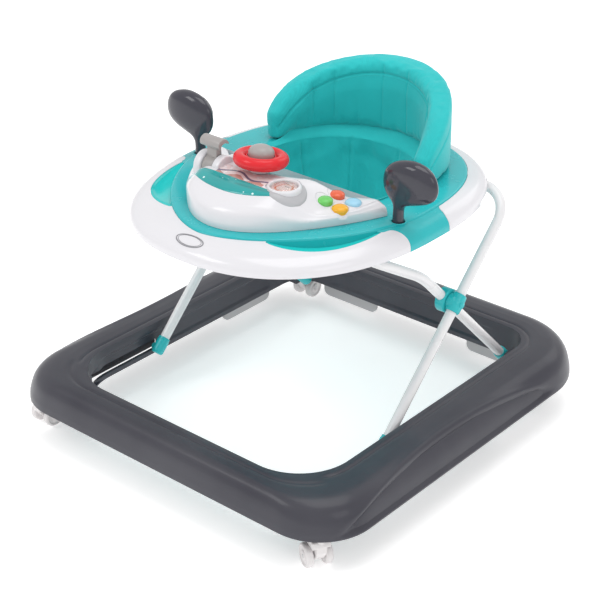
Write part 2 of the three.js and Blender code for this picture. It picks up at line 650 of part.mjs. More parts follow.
function deckCore() {
  const lip = 5;
  const low = TRAY_EDGE_Z + 14;
  return trayBand((angle) => {
    const on = ([x, y], z) => point(x, y, z);
    return [
      on(ringEdge(angle), low),
      on(ringEdge(angle), DECK_TOP_Z - 3),
      on(ringEdge(angle, 3), DECK_TOP_Z),
      on(holeEdge(angle, -lip), DECK_TOP_Z),
      on(holeEdge(angle), DECK_TOP_Z - 4),
      on(holeEdge(angle), low + 2),
      on(holeEdge(angle, -DECK_WALL), low + 2),
      on(holeEdge(angle, -DECK_WALL), DECK_UNDER_Z - 3),
      on(holeEdge(angle, -lip), DECK_UNDER_Z),
      on(ringEdge(angle, 4), DECK_UNDER_Z),
      on(ringEdge(angle, DECK_WALL), DECK_UNDER_Z - 2),
      on(ringEdge(angle, DECK_WALL), low),
    ];
  });
}

function trayDeck() {
  const strips = cut(apron(0, -1.5), frontRegion(GAP), rearRegion(GAP));
  const notch = (side) => turned([[0, 0], [9.6, 0], [9.6, 30], [0, 30]], side * MIRROR_X, MIRROR_Y, DECK_TOP_Z - 12, 24);
  const sockets = [1, -1].map((side) => turned([[0, 0], [13, 0], [13, 12], [11, 14.5], [0, 14.5]],
    side * MIRROR_X, MIRROR_Y, DECK_TOP_Z - 14, 24));
  return cut(join(deckCore(), strips, ...sockets), barRoom(), notch(1), notch(-1));
}

function barClamp() {
  const from = 66;
  const to = 96;
  const body = sidePlate(roundedOutline(OUTER_BAR_Y - 15, OUTER_BAR_Y + 15,
    OUTER_BAR_Z - TUBE_RADIUS - 5, DECK_UNDER_Z - GAP, 5), from, to);
  return cut(body, crossPin(TUBE_RADIUS + GAP, from - 2, to + 2, OUTER_BAR_Y, OUTER_BAR_Z));
}

// The rack under the tray's front that the inner tube's crossbar is set in for height.
function heightRack() {
  const under = INNER_BAR_Z + TUBE_RADIUS + 3;
  const width = 12;
  const at = 62;
  const rail = (side) => {
    const x = side * at;
    let bar = block(x - width / 2, x + width / 2, INNER_BAR_Y - 42, INNER_BAR_Y + 28, under, DECK_UNDER_Z - GAP);
    for (const shift of [-24, 0, 24]) {
      bar = bar.subtract(crossPin(TUBE_RADIUS + 0.5, x - width, x + width, INNER_BAR_Y + shift, under - 3));
    }
    return bar;
  };
  const bridge = block(-at - 3, at + 3, INNER_BAR_Y + 20, INNER_BAR_Y + 27, DECK_UNDER_Z - 8, DECK_UNDER_Z - GAP);
  return join(rail(1), rail(-1), bridge);
}

const LATCH_Y = -188;
const LATCH_Z = DECK_UNDER_Z - 7;
function heightLatch() {
  const barrel = crossPin(4, -24, 24, LATCH_Y, LATCH_Z);
  const handle = sidePlate(roundedOutline(LATCH_Y - 42, LATCH_Y + 1, LATCH_Z - 4, LATCH_Z + 2, 2, 2), -22, 22);
  const grip = crossPin(4.5, -22, 22, LATCH_Y - 39, LATCH_Z - 2);
  return join(barrel, handle, grip);
}

// ---------------------------------------------------------------- console
// The console's crescent outline, drawn in by an inset from the front and from its other sides.
const CONSOLE_TIP_Y = -30;
const CONSOLE_WAIST_Y = -98;
function crescent(front, around, power) {
  const half = CONSOLE_HALF_WIDTH - around;
  const outer = [];
  const inner = [];
  const steps = 18;
  for (let i = 0; i < steps; i += 1) {
    const turn = -Math.PI / 2 + Math.PI * i / steps;
    const x = half * Math.sin(turn);
    outer.push([x, CONSOLE_TIP_Y - (CONSOLE_FRONT + CONSOLE_TIP_Y - front) * Math.cos(turn) ** power]);
  }
  for (let i = 0; i < steps; i += 1) {
    const turn = Math.PI / 2 - Math.PI * i / steps;
    const x = half * Math.sin(turn);
    const share = Math.abs(x) / half;
    const bow = CONSOLE_WAIST_Y - around + (0.0033 * CONSOLE_HALF_WIDTH ** 2) * share * share;
    const tip = CONSOLE_WAIST_Y - around + 0.0033 * CONSOLE_HALF_WIDTH ** 2 - CONSOLE_TIP_Y;
    inner.push([x, bow - tip * share ** 12]);
  }
  return outer.concat(inner);
}

const consoleHeight = (x) => CONSOLE_HEIGHT - CONSOLE_DROP * THREE.MathUtils.smoothstep(Math.abs(x), 66, 124);
// Each level is [front inset, side inset, share of the height, power of the front's curve].
const CONSOLE_LEVELS = [[0, 0, 0, 1.85], [0, 0, 0.2, 1.8], [4, 2, 0.5, 1.6], [14, 5, 0.68, 1.4],
  [24, 8, 0.78, 1.25], [46, 13, 0.97, 0.95], [56, 18, 1, 0.85]];

function consoleForm(wall) {
  const levels = wall > 0 ? CONSOLE_LEVELS.filter((_, level) => level % 2 === 0) : CONSOLE_LEVELS;
  const sections = levels.map(([front, around, share, power], level) =>
    crescent(front + wall, around + wall * 0.8, power).map(([x, y]) => {
      const foot = level === 0 && wall > 0 ? -1 : 0;
      return point(x, y, CONSOLE_BASE_Z + foot + Math.max(0, consoleHeight(x) * share - (level ? wall : 0)));
    }));
  return loft(sections);
}

function gearHump() {
  return crossPin(20, GEAR_X - 24, GEAR_X + 24, GEAR_Y, CONSOLE_TOP_Z - 9, 28);
}

const buttonTop = (x) => CONSOLE_BASE_Z + consoleHeight(x);

function starWindow(grow, depth) {
  const shape = new THREE.Shape();
  const half = 82 + grow;
  const bow = 27 + grow;
  shape.moveTo(-half, 4 + grow);
  shape.quadraticCurveTo(0, -2 * bow + 8, half, 4 + grow);
  shape.quadraticCurveTo(0, 9 + grow, -half, 4 + grow);
  const geometry = new THREE.ExtrudeGeometry(shape, { depth, bevelEnabled: false, curveSegments: 14 });
  geometry.rotateX(STAR_SLOPE);
  geometry.translate(0, -164, CONSOLE_BASE_Z + CONSOLE_HEIGHT * 0.9);
  return geometry;
}
const STAR_SLOPE = 0.42;

function consoleShell() {
  let shell = cut(consoleForm(0), consoleForm(CONSOLE_WALL));
  const floor = block(GEAR_X - 28, GEAR_X + 28, GEAR_Y - 30, GEAR_Y + 30, CONSOLE_TOP_Z - 60,
    CONSOLE_BASE_Z + consoleHeight(GEAR_X - 24) - CONSOLE_WALL);
  const hump = gearHump().subtract(floor);
  shell = shell.add(hump);
  const slot = block(GEAR_X - 10.5, GEAR_X + 10.5, GEAR_Y - 30, GEAR_Y + 30, CONSOLE_TOP_Z - 22, CONSOLE_TOP_Z + 30);
  const bore = BUTTON_RADIUS - 1 + GAP;
  const seat = BUTTON_RADIUS + 1;
  const holes = BUTTONS.map(({ x, y }) => turned([[0, -12], [bore, -12], [bore, 0.4], [seat, 0.4],
    [seat, 20], [0, 20]], x, y, buttonTop(x), 16));
  const window = solid(starWindow(3 * GAP, 30)).translate([0, 0, -GAP]);
  const column = turned([[0, -14], [7 + PIVOT_PLAY, -14], [7 + PIVOT_PLAY, 30], [0, 30]], 0, STEER_Y, CONSOLE_TOP_Z, 24);
  return cut(shell, slot, dialBore(), ...holes, window, column);
}

const DIAL_SINK = 14; // from the console's top down to the bottom of the dial
const dialBase = () => CONSOLE_BASE_Z + consoleHeight(DIAL_X) - DIAL_SINK;
const dialBore = () => turned([[0, 0], [DIAL_RADIUS + GAP, 0], [DIAL_RADIUS + GAP, 40], [0, 40]],
  DIAL_X, DIAL_Y, dialBase(), 28);

function dialBezel() {
  return turned([[0, 0.4], [DIAL_RADIUS, 0.4], [DIAL_RADIUS, 11], [DIAL_RADIUS - 3, 14], [DIAL_RADIUS - 6, 12],
    [DIAL_RADIUS - 6, 6], [0, 6]], DIAL_X, DIAL_Y, dialBase(), 28);
}

function dialLens() {
  const radius = DIAL_RADIUS - 6 - GAP;
  return turned([[0, 6 + GAP], [radius, 6 + GAP], [radius, 11], [radius * 0.7, 15], [radius * 0.35, 17], [0, 17.6]],
    DIAL_X, DIAL_Y, dialBase(), 28);
}

// Pieces on the steering column are turned upright and then tilted with it.
function tilted(body) {
  return body.rotate([-THREE.MathUtils.radToDeg(STEER_TILT), 0, 0]).translate([0, STEER_Y, STEER_Z]);
}

function steeringColumn() {
  return turned([[0, -26], [7, -26], [7, -17 + GAP], [18, -16.4], [15, -12], [12, -9.4], [0, -9.4]], 0, 0, 0, 32)
    .translate([0, STEER_Y, STEER_Z]);
}

function steeringWheel() {
  const rim = new THREE.TorusGeometry(STEER_RADIUS - STEER_RIM_RADIUS, STEER_RIM_RADIUS, 10, 28);
  const web = turned([[0, -6], [STEER_RADIUS - 12, -6], [STEER_RADIUS - 12, 0], [HORN_RADIUS + 4, 1],
    [HORN_RADIUS + 2, 6], [HORN_RADIUS + GAP, 6], [HORN_RADIUS + GAP, -2.5], [0, -2.5]], 0, 0, 0, 28);
  return tilted(solid(rim).add(web));
}

function hornButton() {
  const r = HORN_RADIUS;
  return tilted(turned([[0, -2.5 + HORN_TRAVEL], [r, -2.5 + HORN_TRAVEL], [r, 9], [r * 0.92, 14], [r * 0.72, 18],
    [r * 0.4, 20.4], [0, 21]], 0, 0, 0, 24));
}

function gearLever() {
  const z = CONSOLE_TOP_Z - 9;
  const quadrant = crossPin(18.5, GEAR_X - 9.5, GEAR_X + 9.5, GEAR_Y, z, 32);
  const above = block(GEAR_X - 12, GEAR_X + 12, GEAR_Y - 30, GEAR_Y + 30, z - 9, z + 40);
  const arm = block(GEAR_X - 9.5, GEAR_X + 9.5, GEAR_Y - 5.5, GEAR_Y + 5.5, z, z + 44);
  const grip = roundedBlock(GEAR_X - 19, GEAR_X + 19, GEAR_Y - 10, GEAR_Y + 8, z + 30, z + 47, 6);
  return join(quadrant.intersect(above), arm, grip);
}

function toyButton(x, y) {
  const r = BUTTON_RADIUS;
  return turned([[0, -8], [r - 1, -8], [r - 1, 0.6 + BUTTON_TRAVEL], [r + 0.4, 1 + BUTTON_TRAVEL],
    [r - 0.6, 3.4 + BUTTON_TRAVEL], [r * 0.6, 5.4 + BUTTON_TRAVEL], [0, 6.4 + BUTTON_TRAVEL]], x, y, buttonTop(x), 16);
}

// ---------------------------------------------------------------- play mirrors
function mirrorHead() {
  const head = new THREE.SphereGeometry(1, 20, 12);
  head.scale(MIRROR_HALF_WIDTH, MIRROR_HALF_DEPTH, MIRROR_HALF_HEIGHT);
  head.rotateY(0.12);
  head.translate(MIRROR_X + MIRROR_OFFSET, MIRROR_Y, DECK_TOP_Z + MIRROR_HEIGHT);
  const behind = block(MIRROR_X - 60, MIRROR_X + 100, MIRROR_Y + MIRROR_HALF_DEPTH * 0.45, MIRROR_Y + 60,
    DECK_TOP_Z, DECK_TOP_Z + 140);
  const stem = turned([[0, -10], [8.5, -10], [8, 12], [9.5, 22], [15, 34], [17, 46], [0, 52]],
    MIRROR_X, MIRROR_Y, DECK_TOP_Z, 24);
  return cut(join(solid(head), stem.intersect(block(MIRROR_X - 40, MIRROR_X + 40, MIRROR_Y - 10.5, MIRROR_Y + 7.5,
    DECK_TOP_Z - 20, DECK_TOP_Z + 80))), behind);
}

function mirrorFace() {
  const y = MIRROR_Y + MIRROR_HALF_DEPTH * 0.45 + GAP;
  const disc = new THREE.CylinderGeometry(1, 1, 1.6, 28);
  disc.scale(MIRROR_HALF_WIDTH * 0.8, 1, MIRROR_HALF_HEIGHT * 0.78);
  disc.rotateY(0.12);
  disc.translate(MIRROR_X + MIRROR_OFFSET, y + 0.8, DECK_TOP_Z + MIRROR_HEIGHT);
  return solid(disc);
}

// ---------------------------------------------------------------- seat
function seatBack() {
  const sections = [];
  const steps = 36;
  for (let step = 0; step <= steps; step += 1) {
    const angle = Math.PI * step / steps;
    const rise = Math.max(0.3, Math.sin(angle) ** 0.42);
    const top = DECK_TOP_Z + 14 + (BACK_HEIGHT - 14) * rise;
    const foot = DECK_TOP_Z + GAP;
    const inner = BACK_RADIUS - BACK_THICK;
    const section = [[inner, foot], [BACK_RADIUS - 3, foot], [BACK_RADIUS, foot + 6], [BACK_RADIUS, top - 9],
      [BACK_RADIUS - 8, top - 1.5], [BACK_RADIUS - BACK_THICK / 2, top], [inner + 5, top - 3],
      [inner, top - 10]];
    sections.push(section.map(([r, z]) => point(r * Math.cos(angle), BACK_Y + r * Math.sin(angle), z)));
  }
  return loft(sections);
}

function slingForm(wall) {
  const levels = [[0, 0, 0], [0.35, 6, 2], [0.65, 20, 6], [0.86, 42, 12], [1, 68, 18]];
  const top = DECK_TOP_Z - 4;
  const sections = levels.map(([share, drawn, back]) => {
    const outline = [];
    const steps = 32;
    for (let i = 0; i < steps; i += 1) {
      const [x, y] = holeEdge(2 * Math.PI * i / steps, 1 + drawn + wall);
      outline.push(point(x, y + back, top - (SLING_DEPTH - 4 - wall) * share));
    }
    return outline;
  });
  if (wall > 0) sections[0].forEach((p) => { p.z += 1; });
  return loft(sections);
}

function seatSling() {
  const leg = cylinder(LEG_HOLE_RADIUS, point(66, -50, DECK_TOP_Z - SLING_DEPTH - 20),
    point(56, 40, DECK_TOP_Z - SLING_DEPTH + 70), 28);
  return cut(slingForm(0), slingForm(SLING_WALL), leg, mirrored(leg));
}

// ---------------------------------------------------------------- the whole walker
function addBase() {
  piece('base_ring', baseRing(), GRAPHITE);
  const padX = 158;
  const barMiddle = BASE_BAR / 2 + 2;
  piece('brake_pad_rear_left', brakePad(padX, HALF_L - barMiddle, 0), PALE_GREY);
  piece('brake_pad_rear_right', brakePad(-padX, HALF_L - barMiddle, 0), PALE_GREY);
  piece('brake_pad_side_left', brakePad(HALF_W - barMiddle, 165, Math.PI / 2), PALE_GREY);
  piece('brake_pad_side_right', brakePad(barMiddle - HALF_W, 165, Math.PI / 2), PALE_GREY);
  piece('rear_clip_left', rearClip(), GRAPHITE);
  piece('rear_clip_right', mirrored(rearClip()), GRAPHITE);
}

function addFrame() {
  piece('outer_tube', outerTube(), WHITE_PAINT);
  piece('inner_tube', innerTube(), WHITE_PAINT);
  const pairs = {
    outer_foot_cap: footCap(OUTER_TUBE_X, OUTER_FOOT_Y, 1, baseInnerX(FOOT_Z) - 1),
    inner_foot_cap: footCap(INNER_TUBE_X, INNER_FOOT_Y, -1, INNER_TUBE_X + TUBE_RADIUS + 15),
    hub_saddle: hubSaddle(),
    hub_disc: hubDisc(),
  };
  for (const [name, body] of Object.entries(pairs)) {
    piece(`${name}_left`, body, TEAL_GLOSS);
    piece(`${name}_right`, mirrored(body), TEAL_GLOSS);
  }
}

function addTray() {
  const band = apron();
  piece('tray_deck', trayDeck(), TEAL_GLOSS);
  piece('rim_front', rimFront(band), WHITE_GLOSS);
  piece('rim_rear', rimRear(band), WHITE_GLOSS);
  piece('snack_well_left', snackWell(), TEAL_GLOSS);
  piece('snack_well_right', mirrored(snackWell()), TEAL_GLOSS);
  piece('bar_clamp_left', barClamp(), WHITE_GLOSS);
  piece('bar_clamp_right', mirrored(barClamp()), WHITE_GLOSS);
  piece('height_rack', heightRack(), WHITE_GLOSS);
  piece('height_latch', heightLatch(), TEAL_GLOSS);
}

function addConsole() {
  piece('console_shell', consoleShell(), WHITE_GLOSS);
  piece('star_window', cut(solid(starWindow(0, 4)), dialBore()), TEAL_GLOSS);
  piece('dial_bezel', dialBezel(), WHITE_GLOSS);
  piece('dial_lens', dialLens(), CLEAR);
  piece('steering_column', steeringColumn(), WHITE_GLOSS);
  piece('steering_wheel', steeringWheel(), RED_GLOSS);
  piece('horn_button', hornButton(), MID_GREY);
  piece('gear_lever', gearLever(), MID_GREY);
  for (const { name, x, y, colour } of BUTTONS) piece(`button_${name}`, toyButton(x, y), finish(colour, 0.3));
}

function addSeatAndMirrors() {
  piece('mirror_left', mirrorHead(), DARK_GLOSS);
  piece('mirror_right', mirrored(mirrorHead()), DARK_GLOSS);
  piece('mirror_face_left', mirrorFace(), MIRROR);
  piece('mirror_face_right', mirrored(mirrorFace()), MIRROR);
  piece('seat_back', seatBack(), TEAL_FABRIC);
  piece('seat_sling', seatSling(), TEAL_FABRIC);
}

addBase();
addCasters();
addFrame();
addTray();
addConsole();
addSeatAndMirrors();

export default walker;
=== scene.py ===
"""Folding baby walker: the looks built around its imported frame, laid out as an add-on."""
import math

import bmesh
import bpy
import numpy as np
from bpy.props import FloatProperty, FloatVectorProperty, IntProperty, PointerProperty
from mathutils import Matrix, Vector
from mathutils.bvhtree import BVHTree


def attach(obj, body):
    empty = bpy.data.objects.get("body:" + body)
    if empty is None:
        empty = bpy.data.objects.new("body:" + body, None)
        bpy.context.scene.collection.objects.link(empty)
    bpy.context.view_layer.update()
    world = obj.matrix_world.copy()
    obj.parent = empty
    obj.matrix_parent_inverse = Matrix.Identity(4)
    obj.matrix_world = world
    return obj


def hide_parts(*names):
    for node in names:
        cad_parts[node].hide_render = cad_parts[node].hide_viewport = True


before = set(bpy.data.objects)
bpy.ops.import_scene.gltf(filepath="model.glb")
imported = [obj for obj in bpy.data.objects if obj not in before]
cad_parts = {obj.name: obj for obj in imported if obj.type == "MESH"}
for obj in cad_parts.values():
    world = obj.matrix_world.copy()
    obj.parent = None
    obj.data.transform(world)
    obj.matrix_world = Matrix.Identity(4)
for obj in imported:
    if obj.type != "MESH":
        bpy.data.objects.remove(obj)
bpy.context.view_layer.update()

bl_info = {
    "name": "Folding Baby Walker",
    "version": (1, 0, 0),
    "blender": (4, 5, 0),
    "location": "View3D > Sidebar > Walker",
    "description": "Builds a folding baby walker around its packed frame",
    "category": "Add Mesh",
}

MM = 0.001
TAU = 2 * math.pi

# ---------------------------------------------------------------- sizes shared with the frame, in mm
BASE_HALF_WIDTH, BASE_HALF_LENGTH = 330, 350
BASE_FRONT_CORNER, BASE_REAR_CORNER, BASE_INNER_CORNER = 90, 130, 45
BASE_BAR, BASE_FRONT_BAR, BASE_WALL = 85, 54, 3
RIM_Z, TOP_Z = 55, 107
FOOT_Z, ARM_REACH, CROSS_Y, CROSS_Z = 70, 173.5, 67.5, 243
OUTER_X, INNER_X, TUBE_RADIUS, TUBE_BEND = 232, 212, 8, 50
TUBE_BORE = TUBE_RADIUS + 0.25
ARM_ANGLE = math.atan2(173, ARM_REACH)
OUTER_BAR = (CROSS_Y + 190 * math.cos(ARM_ANGLE), CROSS_Z + 190 * math.sin(ARM_ANGLE))
INNER_BAR = (-118, 378)
OUTER_FOOT_Y, INNER_FOOT_Y = CROSS_Y - ARM_REACH, CROSS_Y + ARM_REACH
TRAY_EDGE_Z, DECK_Z = 374, 404
HOLE_Y = 52
BACK_Y, BACK_RADIUS, BACK_INNER, BACK_HEIGHT = 90, 158, 125, 128
CONSOLE_Z, CONSOLE_HEIGHT = DECK_Z + 0.3, 50
CONSOLE_TOP = DECK_Z + CONSOLE_HEIGHT
STEER_Y, STEER_Z, STEER_TILT, STEER_RADIUS = -108, CONSOLE_TOP + 17, 0.1, 41
GEAR_X, GEAR_Y, GEAR_Z = -74, -128, CONSOLE_TOP - 9
DIAL_X, DIAL_Y, DIAL_RADIUS, DIAL_SINK = 62, -129, 26, 14
MIRROR_X, MIRROR_Y = 194, -33
MIRROR_BORE = 9.9
BUTTONS = {"orange": (107, -66), "green": (108, -94), "yellow": (134, -91), "blue": (137, -65)}
CORNERS = {"front_left": (1, -1, 1.07), "front_right": (-1, -1, 0.0),
           "rear_left": (1, 1, 0.0), "rear_right": (-1, 1, 0.0)}
SIDES = (("left", 1), ("right", -1))


# ---------------------------------------------------------------- user settings
def colour(label, what, value):
    return FloatVectorProperty(name=label, description=what, subtype="COLOR", size=3,
                               min=0, max=1, default=value)


class WalkerColours(bpy.types.PropertyGroup):
    graphite: colour("Base", "Moulded base ring", (0.036, 0.035, 0.050))
    white: colour("White", "Tray rims and console", (0.80, 0.79, 0.82))
    teal: colour("Teal", "Deck, caps and hubs", (0.012, 0.50, 0.53))
    aqua: colour("Aqua", "Snack wells", (0.010, 0.66, 0.64))
    fabric: colour("Fabric", "Seat and seat back", (0.014, 0.56, 0.57))
    red: colour("Red", "Steering wheel", (0.80, 0.006, 0.016))
    grey: colour("Grey", "Horn and gear lever", (0.40, 0.375, 0.365))
    shell: colour("Mirror shell", "Backs of the play mirrors", (0.033, 0.032, 0.048))
    paint: colour("Tube paint", "Powder coat of the tubes", (0.85, 0.84, 0.85))


class WalkerSizes(bpy.types.PropertyGroup):
    seam_depth: FloatProperty(
        name="Seam depth", description="How far a seam pulls the padding in",
        default=0.0024, min=0, max=0.01, unit="LENGTH")
    stitch_pitch: FloatProperty(
        name="Stitch pitch", description="Distance between stitches along a seam",
        default=0.0046, min=0.001, max=0.02, unit="LENGTH")
    recess_depth: FloatProperty(
        name="Recess depth", description="Depth of the sculpted recess in the ring's sides",
        default=0.0075, min=0, max=0.01, unit="LENGTH")
    tube_sides: IntProperty(
        name="Tube sides", description="Faces round the frame tubes", default=28, min=8, max=64)


def colours():
    return bpy.context.scene.walker_colours


def sizes():
    return bpy.context.scene.walker_sizes


# ---------------------------------------------------------------- node trees
class Value:
    """A node's output. Arithmetic on it adds Math nodes to its tree."""

    def __init__(self, tree, socket):
        self.tree = tree
        self.socket = socket

    def _math(self, operation, *parts):
        return self.tree.node("ShaderNodeMath", {"operation": operation}, dict(enumerate(parts)))

    def __add__(self, other):
        return self._math("ADD", self, other)

    def __sub__(self, other):
        return self._math("SUBTRACT", self, other)

    def __rsub__(self, other):
        return self._math("SUBTRACT", other, self)

    def __mul__(self, other):
        return self._math("MULTIPLY", self, other)

    def __truediv__(self, other):
        return self._math("DIVIDE", self, other)

    def __pow__(self, other):
        return self._math("POWER", self, other)

    def below(self, other):
        return self._math("LESS_THAN", self, other)

    def absolute(self):
        return self._math("ABSOLUTE", self)

    def sine(self):
        return self._math("SINE", self)

    def clipped(self):
        return self.tree.node("ShaderNodeClamp", {}, {"Value": self})

    __radd__ = __add__
    __rmul__ = __mul__


class Tree:
    """A node tree being built: node() makes any node, with its settings first and then its inputs."""

    def __init__(self, tree):
        self.tree = tree

    def node(self, kind, settings=None, inputs=None, output=0):
        made = self.tree.nodes.new(kind)
        for name, value in (settings or {}).items():
            if name == "stops":
                ramp = made.color_ramp
                while len(ramp.elements) < len(value):
                    ramp.elements.new(0.5)
                for element, (place, shade) in zip(ramp.elements, value):
                    element.position = place
                    element.color = (*shade, 1)
            else:
                setattr(made, name, value)
        for name, value in (inputs or {}).items():
            if isinstance(value, Value):
                self.tree.links.new(value.socket, made.inputs[name])
            elif (isinstance(value, (tuple, list)) and len(value) == 3
                  and made.inputs[name].type == "RGBA"):
                made.inputs[name].default_value = (*value, 1)
            else:
                made.inputs[name].default_value = value
        return Value(self, made.outputs[output]) if made.outputs else None

    def mixed(self, share, first, second):
        return self.node("ShaderNodeMix", {"data_type": "RGBA"}, {0: share, 6: first, 7: second}, 2)

    def noise(self, where, scale, detail=2.0, roughness=0.5):
        return self.node("ShaderNodeTexNoise", {}, {"Vector": where, "Scale": scale, "Detail": detail,
                                                    "Roughness": roughness})

    def bump(self, height, strength, distance, normal=None):
        inputs = {"Height": height, "Strength": strength, "Distance": distance}
        if normal is not None:
            inputs["Normal"] = normal
        return self.node("ShaderNodeBump", {}, inputs)


def new_material(name):
    material = bpy.data.materials.new(name)
    material.use_nodes = True
    material.node_tree.nodes.clear()
    return material, Tree(material.node_tree)


def surface(tree, inputs):
    shader = tree.node("ShaderNodeBsdfPrincipled", {}, inputs)
    tree.node("ShaderNodeOutputMaterial", {}, {"Surface": shader})


def object_coordinates(tree):
    return tree.node("ShaderNodeTexCoord", {}, {}, "Object")


def darker(shade, share):
    return tuple(c * share for c in shade)


def lighter(shade, share):
    return tuple(c + (1 - c) * share for c in shade)


def plastic(name, shade, roughness=0.2, texture=0.0, coat=0.0, mottle=0.05):
    """Moulded plastic: faint flow marks, uneven gloss, and a moulded texture if it has one."""
    material, tree = new_material(name)
    where = object_coordinates(tree)
    cloudy = tree.noise(where, 9.0, 3.0)
    colour_of = tree.mixed(cloudy, darker(shade, 1 - mottle), lighter(shade, mottle * 0.4))
    smears = tree.noise(where, 38.0, 4.0, 0.6)
    gloss = smears * (roughness * 0.5) + roughness * 0.75
    wavy = tree.bump(tree.noise(where, 55.0, 1.0), 0.06, 0.0006)
    normal = wavy
    if texture:
        pebbles = tree.node("ShaderNodeTexVoronoi", {"feature": "SMOOTH_F1"},
                            {"Vector": where, "Scale": 900.0})
        normal = tree.bump(pebbles, texture, 0.0002, wavy)
    surface(tree, {"Base Color": colour_of, "Roughness": gloss, "Normal": normal, "Coat Weight": coat,
                   "Coat Roughness": 0.06, "IOR": 1.49, "Specular IOR Level": 0.32})
    return material


def painted(name, shade):
    """Powder coat on steel tube: a fine orange peel."""
    material, tree = new_material(name)
    where = object_coordinates(tree)
    patches = tree.noise(where, 14.0, 2.0)
    peel = tree.bump(tree.noise(where, 700.0, 2.0), 0.12, 0.0003)
    surface(tree, {"Base Color": tree.mixed(patches, darker(shade, 0.94), shade),
                   "Roughness": patches * 0.1 + 0.22, "Normal": peel, "Coat Weight": 0.3,
                   "Coat Roughness": 0.1})
    return material


def metal(name, shade, roughness):
    material, tree = new_material(name)
    where = object_coordinates(tree)
    scratches = tree.noise(where, 600.0, 3.0)
    surface(tree, {"Base Color": shade, "Metallic": 1.0, "Roughness": scratches * 0.15 + roughness,
                   "Normal": tree.bump(scratches, 0.05, 0.0001)})
    return material


def mirror_film(name):
    material, tree = new_material(name)
    where = object_coordinates(tree)
    ripple = tree.noise(where, 30.0, 1.0)
    surface(tree, {"Base Color": (0.86, 0.88, 0.9), "Metallic": 1.0,
                   "Roughness": ripple * 0.03 + 0.02,
                   "Normal": tree.bump(ripple, 0.08, 0.0008)})
    return material


def clear_plastic(name):
    material, tree = new_material(name)
    where = object_coordinates(tree)
    smears = tree.noise(where, 70.0, 2.0)
    surface(tree, {"Base Color": (0.95, 0.94, 0.94), "Roughness": smears * 0.05 + 0.02, "IOR": 1.46,
                   "Transmission Weight": 1.0, "Alpha": 0.45})
    return material


def cloth(name, shade, weave=2100.0, strength=0.5):
    """Plain-woven polyester: warp and weft on the piece's own map, soft colour change, lint."""
    material, tree = new_material(name)
    place = tree.node("ShaderNodeUVMap", {"uv_map": "cloth"}, {}, "UV")
    across = tree.node("ShaderNodeSeparateXYZ", {}, {"Vector": place}, "X")
    along = tree.node("ShaderNodeSeparateXYZ", {}, {"Vector": place}, "Y")
    threads = (across * weave).sine() * (along * weave).sine()
    slubs = tree.noise(place, 220.0, 3.0, 0.6)
    where = object_coordinates(tree)
    drift = tree.noise(where, 16.0, 3.0)
    creased = tree.noise(where, 46.0, 2.0, 0.45)
    tone = (threads * 0.16 + slubs * 0.35 + drift * 0.5).clipped()
    base = tree.mixed(tone, darker(shade, 0.80), lighter(darker(shade, 1.16), 0.012))
    soft = tree.bump(creased, 0.22, 0.004)
    woven = tree.bump(threads * 0.6 + slubs * 0.4, strength, 0.0004, soft)
    surface(tree, {"Base Color": base, "Roughness": slubs * 0.16 + 0.66, "Normal": woven,
                   "Sheen Weight": 0.35, "Sheen Roughness": 0.45, "Sheen Tint": (0.75, 0.95, 0.96, 1),
                   "Specular IOR Level": 0.35})
    return material


def star_plastic(name, shade):
    """Glossy teal with small white stars scattered over it."""
    material, tree = new_material(name)
    where = object_coordinates(tree)
    cells = {"Vector": where, "Scale": 95.0, "Randomness": 1.0}
    near = tree.node("ShaderNodeTexVoronoi", {"feature": "F1"}, cells, "Distance")
    hue = tree.node("ShaderNodeTexVoronoi", {"feature": "F1"}, cells, "Color")
    pick = tree.node("ShaderNodeSeparateColor", {}, {"Color": hue}, 0)
    star = near.below(pick * 0.30 - 0.09)
    glow = tree.noise(where, 22.0, 2.0)
    ground = tree.mixed(glow, darker(shade, 0.82), darker(shade, 1.15))
    surface(tree, {"Base Color": tree.mixed(star, ground, (0.75, 0.95, 0.95)),
                   "Roughness": glow * 0.1 + 0.1, "Normal": tree.bump(glow, 0.05, 0.001),
                   "Coat Weight": 0.5, "Coat Roughness": 0.04})
    return material


def picture(name):
    """A generic pastel landscape: sky, low hills and a winding pale road."""
    material, tree = new_material(name)
    where = object_coordinates(tree)
    warp = tree.noise(where, 45.0, 2.0)
    along = tree.node("ShaderNodeSeparateXYZ", {}, {"Vector": where}, "X")
    across = tree.node("ShaderNodeSeparateXYZ", {}, {"Vector": where}, "Y")
    hill = ((along * 150.0).sine() * 0.004 + across + warp * 0.012).below(-0.142)
    road = ((along * 95.0).sine() * 0.006 + across + 0.141).absolute().below(0.0022)
    cloud = tree.noise(where, 130.0, 2.0).below(0.42)
    sky = tree.mixed(cloud, (0.80, 0.70, 0.70), (0.86, 0.84, 0.86))
    land = tree.mixed(hill, sky, (0.55, 0.30, 0.26))
    drawn = tree.mixed(road, land, (0.16, 0.16, 0.24))
    surface(tree, {"Base Color": drawn, "Roughness": warp * 0.1 + 0.12, "Coat Weight": 0.6,
                   "Coat Roughness": 0.03})
    return material


